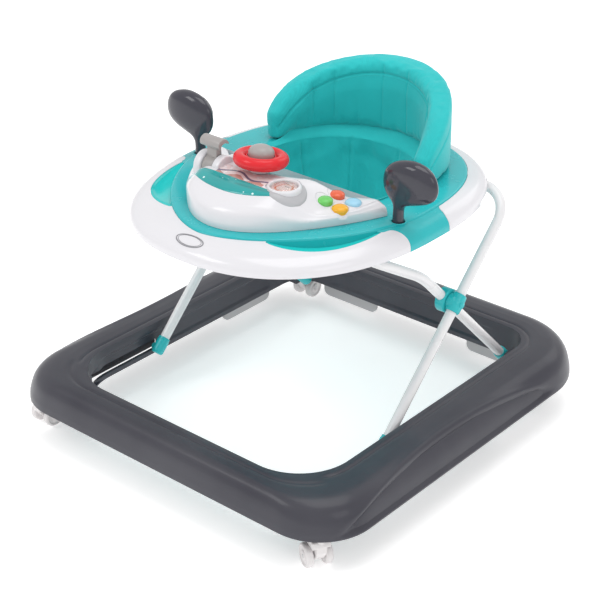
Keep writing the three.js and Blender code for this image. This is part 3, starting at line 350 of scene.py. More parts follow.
def dial_picture(name):
    """The dial's face: warm rings round a pale middle, and a small dark window."""
    material, tree = new_material(name)
    where = tree.node("ShaderNodeMapping", {}, {
        "Vector": object_coordinates(tree),
        "Location": (-DIAL_X * MM, -DIAL_Y * MM, 0)})
    along = tree.node("ShaderNodeSeparateXYZ", {}, {"Vector": where}, "X")
    across = tree.node("ShaderNodeSeparateXYZ", {}, {"Vector": where}, "Y")
    out = (along * along + across * across) ** 0.5
    ring = (out - 0.0125).absolute().below(0.0014)
    petals = tree.noise(where, 160.0, 2.0)
    ground = tree.mixed(petals, (0.86, 0.62, 0.56), (0.90, 0.84, 0.82))
    banded = tree.mixed(ring, ground, (0.70, 0.24, 0.12))
    window = along.absolute().below(0.0042) * (across - 0.0065).absolute().below(0.0016)
    surface(tree, {"Base Color": tree.mixed(window, banded, (0.10, 0.02, 0.03)),
                   "Roughness": petals * 0.1 + 0.2})
    return material


def pale_ground(name, shade):
    material, tree = new_material(name)
    where = object_coordinates(tree)
    faint = tree.noise(where, 2.0, 1.0)
    surface(tree, {"Base Color": tree.mixed(faint, darker(shade, 0.995), shade),
                   "Emission Color": (1, 1, 1),
                   "Emission Strength": 0.4, "Roughness": faint * 0.1 + 0.7,
                   "Specular IOR Level": 0.1})
    return material


FINISHES = {}


def finish_of(kind):
    """The named finish, made once."""
    if kind in FINISHES:
        return FINISHES[kind]
    c = colours()
    makers = {
        "graphite": lambda: plastic("satin_graphite", tuple(c.graphite), 0.36, 0.12, 0.12, 0.10),
        # recess: near-black painted shade, for sheets set inside slots and gaps where shade falls
        "recess": lambda: plastic("painted_shade_recess", (0.012, 0.012, 0.018), 0.45, 0.1),
        "white": lambda: plastic("gloss_white", tuple(c.white), 0.16, 0.0, 0.35, 0.03),
        "teal": lambda: plastic("gloss_teal", tuple(c.teal), 0.26, 0.0, 0.2, 0.07),
        "aqua": lambda: plastic("gloss_aqua", tuple(c.aqua), 0.2, 0.0, 0.3, 0.06),
        "red": lambda: plastic("gloss_red", tuple(c.red), 0.24, 0.0, 0.08, 0.08),
        "grey": lambda: plastic("satin_grey", tuple(c.grey), 0.3, 0.08, 0.1, 0.06),
        "crescent": lambda: plastic("light_grey", (0.48, 0.48, 0.50), 0.3, 0.0, 0.1),
        "brake": lambda: plastic("brake_grey", (0.55, 0.54, 0.55), 0.42, 0.2),
        "caster": lambda: plastic("caster_white", (0.78, 0.75, 0.75), 0.3, 0.05, 0.1),
        "dark": lambda: plastic("gloss_graphite", tuple(c.shell), 0.12, 0.0, 0.3, 0.08),
        "orange": lambda: plastic("gloss_orange", (0.84, 0.13, 0.05), 0.2, 0.0, 0.3),
        "green": lambda: plastic("gloss_green", (0.16, 0.62, 0.13), 0.2, 0.0, 0.3),
        "yellow": lambda: plastic("gloss_yellow", (0.93, 0.46, 0.02), 0.2, 0.0, 0.3),
        "blue": lambda: plastic("gloss_blue", (0.36, 0.68, 0.88), 0.2, 0.0, 0.3),
        "outline": lambda: plastic("badge_grey", (0.30, 0.30, 0.32), 0.35),
        "paint": lambda: painted("white_powder_coat", tuple(c.paint)),
        "steel": lambda: metal("bright_steel", (0.6, 0.6, 0.61), 0.25),
        "mirror": lambda: mirror_film("mirror_film"),
        "clear": lambda: clear_plastic("clear_plastic"),
        "stars": lambda: star_plastic("starry_teal", (0.010, 0.36, 0.36)),
        "picture": lambda: picture("picture_panel"),
        "dial": lambda: dial_picture("dial_face"),
        "fabric": lambda: cloth("teal_weave", tuple(c.fabric)),
        "thread": lambda: plastic("teal_thread", darker(tuple(c.fabric), 0.75), 0.6, 0.3),
        "binding": lambda: cloth("teal_binding", darker(tuple(c.fabric), 0.92), 1500.0, 0.7),
    }
    FINISHES[kind] = makers[kind]()
    return FINISHES[kind]


# ---------------------------------------------------------------- meshes
def link(name, mesh):
    body = bpy.data.objects.new(name, mesh)
    bpy.context.scene.collection.objects.link(body)
    return body


def new_object(name, points, faces, smooth=True):
    """A mesh object from points in millimetres, its faces turned outwards."""
    mesh = bpy.data.meshes.new(name)
    mesh.from_pydata((np.asarray(points, float) * MM).tolist(), [], faces)
    work = bmesh.new()
    work.from_mesh(mesh)
    bmesh.ops.remove_doubles(work, verts=work.verts, dist=2e-6)
    bmesh.ops.recalc_face_normals(work, faces=work.faces)
    work.to_mesh(mesh)
    work.free()
    if smooth:
        mesh.shade_smooth()
    return link(name, mesh)


def grid_faces(rows, columns, wrap_rows=True, wrap_columns=True):
    faces = []
    for i in range(rows if wrap_rows else rows - 1):
        here, there = i * columns, (i + 1) % rows * columns
        for j in range(columns if wrap_columns else columns - 1):
            k = (j + 1) % columns
            faces.append((here + j, there + j, there + k, here + k))
    return faces


def skinned(name, grid, wrap_rows=True, wrap_columns=True, cap_rows=False, cap_columns=False):
    """A skin over a grid of points, rows by columns, closed or capped as asked."""
    rows, columns = grid.shape[:2]
    faces = grid_faces(rows, columns, wrap_rows, wrap_columns)
    if cap_rows:
        faces.append(tuple(range(columns)))
        faces.append(tuple(range((rows - 1) * columns, rows * columns)))
    if cap_columns:
        faces.append(tuple(range(0, rows * columns, columns)))
        faces.append(tuple(range(columns - 1, rows * columns, columns)))
    return new_object(name, grid.reshape(-1, 3), faces)


def joined(name, *bodies):
    """Several meshes made one object."""
    work = bmesh.new()
    for body in bodies:
        work.from_mesh(body.data)
        bpy.data.objects.remove(body)
    mesh = bpy.data.meshes.new(name)
    work.to_mesh(mesh)
    work.free()
    return link(name, mesh)


def moved(body, matrix):
    body.data.transform(matrix)
    if matrix.determinant() < 0:
        body.data.flip_normals()
    return body


def copy_of(body, name, matrix):
    return moved(link(name, body.data.copy()), matrix)




def crisp(body, degrees=38):
    body.data.shade_smooth()
    body.data.set_sharp_from_angle(angle=math.radians(degrees))
    return body


def with_modifier(body, kind, **settings):
    """Adds a modifier, applies it and leaves a plain mesh."""
    modifier = body.modifiers.new(kind.lower(), kind)
    for name, value in settings.items():
        setattr(modifier, name, value)
    evaluated = body.evaluated_get(bpy.context.evaluated_depsgraph_get())
    mesh = bpy.data.meshes.new_from_object(evaluated)
    body.modifiers.remove(modifier)
    body.data = mesh
    return body


def combined(body, other, operation):
    """A boolean of two bodies; the second is used up."""
    with_modifier(body, "BOOLEAN", object=other, operation=operation, solver="EXACT")
    bpy.data.objects.remove(other)
    return body


def softened(body, width=0.8, segments=2, degrees=40):
    with_modifier(body, "BEVEL", width=width * MM, segments=segments, limit_method="ANGLE",
                  angle_limit=math.radians(degrees), use_clamp_overlap=True, miter_outer="MITER_ARC")
    return crisp(body)


def subdivided(body, levels=1):
    return with_modifier(body, "SUBSURF", levels=levels, render_levels=levels)


def merged_copy(node, name):
    """A copy of a frame node with its loose triangles merged and its flat faces made whole."""
    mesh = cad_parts[node].data.copy()
    mesh.name = name
    mesh.materials.clear()
    work = bmesh.new()
    work.from_mesh(mesh)
    bmesh.ops.remove_doubles(work, verts=work.verts, dist=2e-5)
    bmesh.ops.dissolve_limit(work, angle_limit=math.radians(1.5), verts=work.verts, edges=work.edges)
    work.to_mesh(mesh)
    work.free()
    return link(name, mesh)


def settled(body, finish, rides_on, slot, *stands_for):
    """Gives a finished piece its material, its body and the nodes that it stands for. Its slot is not
    used.
    """
    if not body.data.polygons:
        raise RuntimeError(f"{body.name} came out empty")
    body.data.materials.clear()
    body.data.materials.append(finish_of(finish))
    if stands_for:
        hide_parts(*stands_for)
    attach(body, rides_on)
    return body


# ---------------------------------------------------------------- curves and sections
def rounded(points, radius, steps=4, closed=True):
    """A polygon whose corners are rounded. radius is one size or one for each corner."""
    points = [np.asarray(p, float) for p in points]
    count = len(points)
    radii = radius if isinstance(radius, (list, tuple)) else [radius] * count
    out = []
    for i, p in enumerate(points):
        if not closed and i in (0, count - 1) or radii[i] <= 0:
            out.append(p)
            continue
        before, after = points[i - 1] - p, points[(i + 1) % count] - p
        reach = min(radii[i], 0.48 * np.linalg.norm(before), 0.48 * np.linalg.norm(after))
        start = p + before / np.linalg.norm(before) * reach
        end = p + after / np.linalg.norm(after) * reach
        for share in np.linspace(0, 1, steps + 1):
            out.append((1 - share) ** 2 * start + 2 * share * (1 - share) * p + share ** 2 * end)
    return np.array(out)


def spline(points, steps):
    """A Catmull-Rom curve through points, with steps parts between each two."""
    points = np.asarray(points, float)
    padded = np.vstack([2 * points[0] - points[1], points, 2 * points[-1] - points[-2]])
    out = []
    for i in range(1, len(padded) - 2):
        a, b, c, d = padded[i - 1:i + 3]
        for share in np.arange(steps) / steps:
            out.append(0.5 * (2 * b + (c - a) * share + (2 * a - 5 * b + 4 * c - d) * share ** 2
                              + (3 * b - a - 3 * c + d) * share ** 3))
    out.append(points[-1])
    return np.array(out)


def smooth_step(x, low=0.0, high=1.0):
    share = np.clip((np.asarray(x, float) - low) / (high - low), 0, 1)
    return share * share * (3 - 2 * share)


def bell(x, width):
    return np.exp(-(np.asarray(x, float) / width) ** 2)


def turned(name, profile, centre=(0, 0, 0), axis=(0, 0, 1), sides=56, closed=False):
    """A lathe: profile points are (radius, height), centre in millimetres."""
    profile = np.asarray(profile, float)
    angles = np.arange(sides) / sides * TAU
    grid = np.zeros((sides, len(profile), 3))
    grid[..., 0] = np.cos(angles)[:, None] * profile[:, 0]
    grid[..., 1] = np.sin(angles)[:, None] * profile[:, 0]
    grid[..., 2] = profile[:, 1]
    turn = Vector((0, 0, 1)).rotation_difference(Vector(axis)).to_matrix()
    grid = grid @ np.array(turn).T + np.asarray(centre, float)
    return skinned(name, grid, True, closed)


def wall_normals(grid, wrap_rows=True, wrap_columns=True):
    """Unit normals of a grid of points, from its finite differences."""
    def slope(axis, wrap):
        if wrap:
            return np.roll(grid, -1, axis) - np.roll(grid, 1, axis)
        return np.gradient(grid, axis=axis)
    normal = np.cross(slope(0, wrap_rows), slope(1, wrap_columns))
    return normal / np.maximum(np.linalg.norm(normal, axis=-1, keepdims=True), 1e-9)


def oval(angle, half, front, rear, square_front, square_rear):
    """A superellipse in plan whose front half and rear half differ."""
    c, s = np.cos(angle), np.sin(angle)
    power = np.where(s < 0, 2 / square_front, 2 / square_rear)
    reach = np.where(s < 0, front, rear)
    return np.stack([half * np.sign(c) * np.abs(c) ** power,
                     reach * np.sign(s) * np.abs(s) ** power], -1)


def tray_edge(angle, out=0.0):
    return oval(angle, 234 + out, 283 + out, 280 + out, 2.3, 2.6)


def ring_edge(angle, inset=0.0):
    return oval(angle, 207 - inset, 242 - inset, 252 - inset, 1.65, 2.5)


def hole_edge(angle, inset=0.0):
    return oval(angle, 130 - inset, 138 - inset, 138 - inset, 2.3, 2.2) + np.array([0, HOLE_Y])


def lifted(plan, z):
    """Plan points with a height added."""
    plan = np.asarray(plan, float)
    return np.concatenate([plan, np.broadcast_to(np.asarray(z, float), plan.shape[:-1])[..., None]],
                          -1)


def down_to(tree, x, y):
    """Height in mm of the highest surface at a plan point in mm."""
    hit = tree.ray_cast(Vector((x * MM, y * MM, 1.0)), Vector((0, 0, -1)))
    if hit[0] is None:
        raise RuntimeError(f"nothing lies under {x:.0f}, {y:.0f}")
    return hit[0].z / MM


def surface_tree(*bodies):
    vertices, faces = [], []
    for body in bodies:
        start = len(vertices)
        vertices += [v.co.copy() for v in body.data.vertices]
        faces += [tuple(start + i for i in p.vertices) for p in body.data.polygons]
    return BVHTree.FromPolygons(vertices, faces)


# ---------------------------------------------------------------- geometry nodes
def geometry_tree(name, inputs):
    tree = bpy.data.node_groups.new(name, "GeometryNodeTree")
    tree.interface.new_socket("Geometry", in_out="INPUT", socket_type="NodeSocketGeometry")
    for label, kind, value in inputs:
        socket = tree.interface.new_socket(label, in_out="INPUT", socket_type=kind)
        if value is not None:
            socket.default_value = value
    tree.interface.new_socket("Geometry", in_out="OUTPUT", socket_type="NodeSocketGeometry")
    return tree, Tree(tree)


def group_inputs(build):
    made = build.tree.nodes.new("NodeGroupInput")
    return {socket.name: Value(build, socket) for socket in made.outputs if socket.name}


def group_output(build, geometry, material):
    real = build.node("GeometryNodeRealizeInstances", {}, {"Geometry": geometry})
    finished = build.node("GeometryNodeSetMaterial", {}, {"Geometry": real, "Material": material})
    build.node("NodeGroupOutput", {}, {0: finished})


def grown(body, tree, values):
    """Runs a geometry tree on a body with the named inputs set, and leaves a plain mesh."""
    modifier = body.modifiers.new("grown", "NODES")
    modifier.node_group = tree
    names = {item.name: item.identifier for item in tree.interface.items_tree
             if item.in_out == "INPUT"}
    for name, value in values.items():
        modifier[names[name]] = value
    evaluated = body.evaluated_get(bpy.context.evaluated_depsgraph_get())
    mesh = bpy.data.meshes.new_from_object(evaluated)
    body.modifiers.remove(modifier)
    body.data = mesh
    return body


def path_object(name, points, closed=False):
    mesh = bpy.data.meshes.new(name)
    count = len(points)
    edges = [(i, i + 1) for i in range(count - 1)] + ([(count - 1, 0)] if closed else [])
    mesh.from_pydata((np.asarray(points, float) * MM).tolist(), edges, [])
    return link(name, mesh)


def tube_tree():
    """Sweeps a round section along a path."""
    if "walker_tube" in bpy.data.node_groups:
        return bpy.data.node_groups["walker_tube"]
    tree, build = geometry_tree("walker_tube", [
        ("Radius", "NodeSocketFloat", 0.008), ("Sides", "NodeSocketInt", 28),
        ("Material", "NodeSocketMaterial", None)])
    given = group_inputs(build)
    line = build.node("GeometryNodeMeshToCurve", {}, {"Mesh": given["Geometry"]})
    section = build.node("GeometryNodeCurvePrimitiveCircle", {"mode": "RADIUS"},
                         {"Radius": given["Radius"], "Resolution": given["Sides"]})
    swept = build.node("GeometryNodeCurveToMesh", {}, {
        "Curve": line, "Profile Curve": section, "Fill Caps": True})
    smooth = build.node("GeometryNodeSetShadeSmooth", {}, {"Geometry": swept, "Shade Smooth": True})
    group_output(build, smooth, given["Material"])
    return tree


def stitch_tree():
    """Lays short threads end to end along a path, each turned to the path."""
    if "walker_stitches" in bpy.data.node_groups:
        return bpy.data.node_groups["walker_stitches"]
    tree, build = geometry_tree("walker_stitches", [
        ("Pitch", "NodeSocketFloat", 0.0046), ("Length", "NodeSocketFloat", 0.0032),
        ("Thread", "NodeSocketFloat", 0.00045), ("Material", "NodeSocketMaterial", None)])
    given = group_inputs(build)
    line = build.node("GeometryNodeMeshToCurve", {}, {"Mesh": given["Geometry"]})
    spaced = build.node("GeometryNodeResampleCurve", {"mode": "LENGTH"},
                        {"Curve": line, "Length": given["Pitch"]})
    tangent = build.node("GeometryNodeInputTangent")
    turn = build.node("FunctionNodeAlignRotationToVector", {"axis": "Z"}, {"Vector": tangent})
    thread = build.node("GeometryNodeMeshUVSphere", {}, {"Segments": 6, "Rings": 4, "Radius": 0.5})
    size = build.node("ShaderNodeCombineXYZ", {}, {
        "X": given["Thread"] * 2.0, "Y": given["Thread"] * 2.0, "Z": given["Length"]})
    laid = build.node("GeometryNodeInstanceOnPoints", {}, {
        "Points": spaced, "Instance": thread, "Rotation": turn, "Scale": size})
    group_output(build, laid, given["Material"])
    return tree


def tube(name, points, radius, finish, closed=False, sides=None):
    body = grown(path_object(name, points, closed), tube_tree(), {
        "Radius": radius * MM, "Sides": sides or sizes().tube_sides, "Material": finish_of(finish)})
    return crisp(body, 50)


def stitches(name, points, closed=False):
    return grown(path_object(name, points, closed), stitch_tree(), {
        "Pitch": sizes().stitch_pitch, "Material": finish_of("thread")})


# ---------------------------------------------------------------- base ring
def base_plan(share, corner_steps=18, straight_steps=(26, 56, 26, 56)):
    """The ring's plan outline: share 0 is its outside and share 1 its inner rim."""
    corners = []
    for corner in range(4):
        rear = corner < 2
        rear_radius = BASE_REAR_CORNER + (BASE_INNER_CORNER - BASE_REAR_CORNER) * share
        radius = rear_radius if rear else BASE_FRONT_CORNER
        x = BASE_HALF_WIDTH - BASE_BAR * share - radius
        y = BASE_HALF_LENGTH - (BASE_BAR if rear else BASE_FRONT_BAR) * share - radius
        angle = (corner + np.linspace(0, 1, corner_steps + 1)) * math.pi / 2
        side = 1 if corner in (0, 3) else -1
        corners.append(np.stack([side * x + radius * np.cos(angle),
                                 (y if rear else -y) + radius * np.sin(angle)], -1))
    out = []
    for corner in range(4):
        start, end = corners[corner][-1], corners[(corner + 1) % 4][0]
        shares = np.arange(1, straight_steps[corner]) / straight_steps[corner]
        out += [corners[corner], start + (end - start) * shares[:, None]]
    return np.vstack(out)


BASE_LEAN = 0.04
POCKET_LOW, POCKET_HIGH = (212, -256, 57), (243.4, -206, 85)


def bar_profile():
    """The bar's section as (share, height): up, over the top, down, and back inside."""
    rise = TOP_Z - RIM_Z
    wall = BASE_WALL / BASE_FRONT_BAR
    outer = spline([(0, RIM_Z + 1), (0.004, RIM_Z + 6), (0.018, RIM_Z + 0.27 * rise),
                    (0.08, RIM_Z + 0.6 * rise),
                    (0.19, RIM_Z + 0.83 * rise), (0.36, RIM_Z + 0.96 * rise), (0.58, TOP_Z)], 6)
    top = np.stack([np.linspace(0.60, 0.90, 16), np.full(16, TOP_Z)], -1)
    edge = rounded([(0.90, TOP_Z), (0.955, TOP_Z), (0.967, TOP_Z - 9)], 12, 6, closed=False)[1:]
    heights = np.linspace(TOP_Z - 12, RIM_Z + 2, 22)
    inner = np.stack([1 - BASE_LEAN * (heights - RIM_Z) / (TOP_Z - 4 - RIM_Z), heights], -1)
    rim = [(0.998, RIM_Z), (1 - wall, RIM_Z)]
    back = [(1 - BASE_LEAN - wall, TOP_Z - 8), (0.86, TOP_Z - 5), (0.56, TOP_Z - 5),
            (0.24, RIM_Z + 0.78 * rise), (0.10, RIM_Z + 0.44 * rise), (wall, RIM_Z), (0.004, RIM_Z)]
    section = np.vstack([outer, top, edge, inner, rim, back])
    return section, len(outer) + len(top) + len(edge) + len(inner)


def side_arc(y):
    """Height of the sculpted arc along a side bar, counted along its slope."""
    return 60 + 57 * np.maximum(0, 1 - ((y + 50) / 277) ** 2) ** 0.75


def base_detail(grid, share, shown):
    """How far each point of the ring sinks below its plain form, in mm."""
    x, y, z = grid[..., 0], grid[..., 1], grid[..., 2]
    side = np.abs(x) / BASE_HALF_WIDTH > np.abs(y) / BASE_HALF_LENGTH
    bar = np.where(side | (y > 0), BASE_BAR, BASE_FRONT_BAR)
    deep = sizes().recess_depth / MM
    sink = np.zeros(x.shape)
    climb = z + 0.5 * (BASE_HALF_WIDTH - np.abs(x))
    arc = side_arc(y)
    flank = side & (share[None, :] < 0.5) & (np.abs(y + 50) < 277)
    below = smooth_step(arc - climb, 0, 9) * smooth_step(z, 57, 66)
    sink += np.where(flank, deep * below * smooth_step(277 - np.abs(y + 50), 0, 60), 0)
    sink -= np.where(flank, 1.5 * bell(climb - arc - 3, 3.2)
                     * smooth_step(277 - np.abs(y + 50), 0, 90), 0)
    from_edge = (1 - share)[None, :] * bar
    sink += 1.5 * bell(from_edge - 17, 2.4) * (share[None, :] > 0.5)
    sink -= 0.7 * bell(from_edge - 10, 5) * (share[None, :] > 0.5)
    wall = (share[None, :] > 0.955) & (z < TOP_Z - 8)
    straight = np.where(side, smooth_step(205 - np.abs(y + 20), 0, 14),
                        smooth_step(172 - np.abs(x), 0, 14))
    channel = smooth_step(z, 62, 66) * smooth_step(94 - z, 0, 4)
    sink += np.where(wall, 3.4 * straight * channel, 0)
    return sink * shown[None, :]


def base_ring_body():
    profile, shown_count = bar_profile()
    grid = np.stack([lifted(base_plan(share), z) for share, z in profile], 1)
    normal = wall_normals(grid)
    if normal[10, 40, 2] < 0:
        normal = -normal
    shown = np.zeros(len(profile))
    shown[2:shown_count - 1] = 1
    grid = grid - normal * base_detail(grid, profile[:, 0], shown)[..., None]
    return skinned("ring_body", grid)


def cutting_box(low, high):
    low, high = np.asarray(low, float), np.asarray(high, float)
    points = [(x, y, z) for x in (low[0], high[0]) for y in (low[1], high[1])
              for z in (low[2], high[2])]
    faces = [(0, 1, 3, 2), (4, 6, 7, 5), (0, 4, 5, 1), (2, 3, 7, 6), (0, 2, 6, 4), (1, 5, 7, 3)]
    return new_object("cutter", points, faces, smooth=False)


def block(name, low, high, radius, segments=3):
    """A moulded block with rounded edges."""
    body = cutting_box(low, high)
    body.name = name
    return softened(body, radius, segments, 30)


class WALKER_OT_base_ring(bpy.types.Operator):
    """Moulded base ring with sculpted sides, inner channels and the slots that the frame slides in"""
    bl_idname = "walker.base_ring"
    bl_label = "Base ring"

    def execute(self, context):
        body = base_ring_body()
        slide = 2 * ARM_REACH * (1 / math.cos(ARM_ANGLE) - 1)
        low_y, high_y = OUTER_FOOT_Y - 0.98 * slide - 8, OUTER_FOOT_Y + 10
        for side in (1, -1):
            near, far = sorted((side * 237, side * 256))
            body = combined(body, cutting_box((near, low_y, 63), (far, high_y, 77)), "DIFFERENCE")
            near, far = sorted((side * POCKET_HIGH[0], side * POCKET_LOW[0]))
            pocket = cutting_box((near, *POCKET_LOW[1:]), (far, *POCKET_HIGH[1:]))
            body = combined(body, pocket, "DIFFERENCE")
        body.name = "base_ring_shell"
        settled(crisp(body, 32), "graphite", "base", "graphite", "base_ring")
        for label, side in SIDES:
            near, far = sorted((side * 258, side * 260))
            # Behind each slot a near-black sheet: painted shade standing for the dark hollow inside the
            # ring.
            slot_shade_sheet = block(f"painted_slot_shade_{label}", (near, low_y - 6, 59), (far, high_y + 6, 81), 0.5)
            settled(slot_shade_sheet, "recess", "base", "graphite")
        return {"FINISHED"}


class WALKER_OT_base_fittings(bpy.types.Operator):
    """Brake pads under the ring and the brackets that hold the inner tube's feet"""
    bl_idname = "walker.base_fittings"
    bl_label = "Brake pads and brackets"

    def execute(self, context):
        for node in ("brake_pad_rear_left", "brake_pad_rear_right", "brake_pad_side_left",
                     "brake_pad_side_right"):
            pad = softened(merged_copy(node, f"{node}_moulded"), 1.6, 3)
            settled(pad, "brake", "base", "brake_grey", node)
        for label, _ in SIDES:
            bracket = softened(merged_copy(f"rear_clip_{label}", f"rear_bracket_{label}"), 0.8, 2)
            settled(bracket, "graphite", "base", "graphite", f"rear_clip_{label}")
        return {"FINISHED"}


# ---------------------------------------------------------------- casters
CASTER_TRAIL, WHEEL_RADIUS, WHEEL_WIDTH, WHEEL_SPACING = 13, 18.5, 11, 29


def caster_place(corner):
    """The swivel axis in plan and the turn of one caster."""
    across, along, turn = CORNERS[corner]
    radius = BASE_REAR_CORNER if along > 0 else BASE_FRONT_CORNER
    reach = radius - (42 if along > 0 else 15)
    x = BASE_HALF_WIDTH - radius + reach * 0.64
    y = BASE_HALF_LENGTH - radius + reach * 0.768
    return Matrix.Translation((across * x * MM, along * y * MM, 0)) @ Matrix.Rotation(turn, 4, "Z")


def caster_wheel(side):
    """A wheel with a crowned tread, a dished outer face and a hub cap."""
    half, tread = WHEEL_WIDTH / 2, WHEEL_RADIUS
    profile = rounded([
        (2.8, -half), (tread - 3.5, -half), (tread - 2.4, -half - 0.2), (tread, -half + 1.6),
        (tread, half - 2),
        (tread - 2.2, half), (tread - 4, half), (tread - 5.2, half - 1.6), (8.2, half - 1.8),
        (7.2, half + 0.2),
        (2.8, half + 0.4)], 1.2, 3)
    return turned("wheel", profile, (side * WHEEL_SPACING / 2, CASTER_TRAIL, WHEEL_RADIUS),
                  (side, 0, 0), 48, True)


def wheel_axle():
    reach = WHEEL_SPACING / 2 + WHEEL_WIDTH / 2 + 0.5
    profile = rounded([(0, -reach), (2.4, -reach), (2.4, reach), (0, reach)], 0.5, 2, closed=False)
    return turned("axle", profile, (0, CASTER_TRAIL, WHEEL_RADIUS), (1, 0, 0), 24)


def caster_yoke():
    """The hooded fork between the wheels, with its collar and stem, as one moulding."""
    def fin(half, outline, name, radius):
        outline = rounded(outline, radius, 4)
        ring = [np.insert(outline * (1 - 0.03 * (share > 0.99)), 0, side * half * share, axis=1)
                for side, share in ((-1, 1.0), (-1, 0.93), (1, 0.93), (1, 1.0))]
        return skinned(name, np.array(ring), False, True, cap_rows=True)
    leg = fin(7.6, [(-9.5, 47), (-9.5, 31), (5, 12), (16, 10), (21, 15), (21, 34), (13, 45)], "leg",
              4)
    hood = fin(13.5, [(-10.5, 40.5), (16, 40.5), (12, 46), (6.5, 50.5), (-7.5, 50.5)], "hood", 2.4)
    profile = rounded([(0, 46), (9, 46), (9, 54), (5, 54), (5, 69), (0, 69)], 0.8, 2, closed=False)
    collar = turned("collar", profile)
    for part in (leg, hood):
        softened(part, 0.7, 2)
    return joined("yoke", leg, hood, crisp(collar))


class WALKER_OT_casters(bpy.types.Operator):
    """Four twin-wheel casters"""
    bl_idname = "walker.casters"
    bl_label = "Casters"

    def execute(self, context):
        parts = {
            "caster_yoke": (caster_yoke(), "caster", "caster_white"),
            "caster_wheel_a": (crisp(caster_wheel(1)), "caster", "caster_white"),
            "caster_wheel_b": (crisp(caster_wheel(-1)), "caster", "caster_white"),
            "caster_axle": (crisp(wheel_axle()), "steel", "steel"),
        }
        for corner in CORNERS:
            place = caster_place(corner)
            for kind, (body, finish, slot) in parts.items():
                rides_on = f"caster_{corner}" if kind == "caster_yoke" else f"wheels_{corner}"
                made = copy_of(body, f"{kind}_moulded_{corner}", place)
                settled(made, finish, rides_on, slot, f"{kind}_{corner}")
        for body, _, _ in parts.values():
            bpy.data.objects.remove(body)
        return {"FINISHED"}


# ---------------------------------------------------------------- scissor frame
def bent_path(arm, corner, steps=14):
    """A tube's middle line: up its arm, round a bend into its crossbar, and down the other side."""
    corner = np.asarray(corner, float)
    arm = [np.asarray(p, float) for p in arm]
    along = (arm[-1] - corner) / np.linalg.norm(arm[-1] - corner)
    start = corner + along * TUBE_BEND
    end = corner + np.array([-TUBE_BEND, 0, 0])
    share = np.linspace(0, 1, steps + 1)[:, None]
    near_start, near_end = start + (corner - start) * 0.552, end + (corner - end) * 0.552
    bend = ((1 - share) ** 3 * start + 3 * (1 - share) ** 2 * share * near_start
            + 3 * (1 - share) * share ** 2 * near_end + share ** 3 * end)
    leg = rounded(arm + [start], 26, 8, closed=False) if len(arm) > 1 else np.array(arm)
    half = np.vstack([leg, bend])
    return np.vstack([half, (half * np.array([-1, 1, 1]))[::-1]])


def arm_axis(lean):
    return (0, lean * math.cos(ARM_ANGLE), math.sin(ARM_ANGLE))


class WALKER_OT_frame_tubes(bpy.types.Operator):
    """Two bent steel tubes of the scissor frame"""
    bl_idname = "walker.frame_tubes"
    bl_label = "Frame tubes"

    def execute(self, context):
        outer = bent_path([(OUTER_X, OUTER_FOOT_Y, FOOT_Z)], (OUTER_X, *OUTER_BAR))
        inner = bent_path([(INNER_X, INNER_FOOT_Y, FOOT_Z),
                           (INNER_X, CROSS_Y - 60, CROSS_Z + 60 * math.tan(ARM_ANGLE))],
                          (INNER_X, *INNER_BAR))
        for name, path, rides_on in (("outer_tube", outer, "front_leg"),
                                     ("inner_tube", inner, "rear_leg")):
            body = tube(f"{name}_painted", path, TUBE_RADIUS, "paint")
            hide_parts(name)
            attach(body, rides_on)
        return {"FINISHED"}


def foot_cap(label, side, x, y, lean, pin_end):
    """A cap over a tube's foot: a tapered sleeve with a collar, a round end and a pin."""
    profile = rounded([(0, -10), (8.6, -10), (10.4, -6.5), (10.4, 14), (9.7, 15), (9.7, 19),
                       (8.2, 19), (8.2, 0), (0, 0)], 1.6, 4, closed=False)
    sleeve = turned("sleeve", profile, (side * x, y, FOOT_Z), arm_axis(lean), 40)
    profile = rounded([(0, 0), (5, 0), (5, pin_end - x - 7), (0, pin_end - x - 7)], 1, 3,
                      closed=False)
    pin = turned("pin", profile, (side * (x + 7), y, FOOT_Z), (side, 0, 0), 28)
    return crisp(joined(label, sleeve, pin))


def hub_saddle(label, side):
    """The half hub on the outer tube: a sleeve along the tube, a boss and a domed rivet cover."""
    centre = (side * OUTER_X, CROSS_Y, CROSS_Z)
    profile = rounded([(TUBE_BORE, -15), (10.2, -15), (11.6, -12.5), (12.1, 0), (11.6, 12.5),
                       (10.2, 15), (TUBE_BORE, 15)], 1.4, 3)
    sleeve = turned("sleeve", profile, centre, arm_axis(1), 48, True)
    profile = rounded([(0, 0), (13.6, 0), (14, 1), (14, 9), (12, 13.5), (0, 15.5)], 2.2, 4,
                      closed=False)
    boss = turned("boss", profile, (side * (INNER_X + 10.3), CROSS_Y, CROSS_Z), (side, 0, 0), 48)
    dome = turned("dome", [(6.4 * math.sin(t), 3.2 * math.cos(t))
                           for t in np.linspace(math.pi / 2, 0, 8)],
                  (side * (OUTER_X + 10.6), CROSS_Y, CROSS_Z), (side, 0, 0), 32)
    return crisp(joined(label, sleeve, boss, dome))


def hub_disc(label, side):
    """The other half of the hub, on the inner tube, as a rimmed disc."""
    profile = rounded([(0, 0), (18.4, 0), (19, 0.8), (19, 14.5), (17.2, 15.7), (0, 15.7)], 1.2, 3,
                      closed=False)
    front = turned("front", profile, (side * (INNER_X - 6), CROSS_Y, CROSS_Z), (side, 0, 0), 56)
    profile = rounded([(0, -7), (9, -6.4), (14, -4), (14, 2), (0, 2)], 2.4, 4, closed=False)
    back = turned("back", profile, (side * (INNER_X - 5), CROSS_Y, CROSS_Z), (side, 0, 0), 48)
    profile = [(0, -60), (TUBE_BORE, -60), (TUBE_BORE, 60), (0, 60)]
    bore = turned("bore", profile, (side * INNER_X, CROSS_Y, CROSS_Z), arm_axis(-1), 40)
    body = combined(combined(front, back, "UNION"), bore, "DIFFERENCE")
    body.name = label
    return crisp(body)


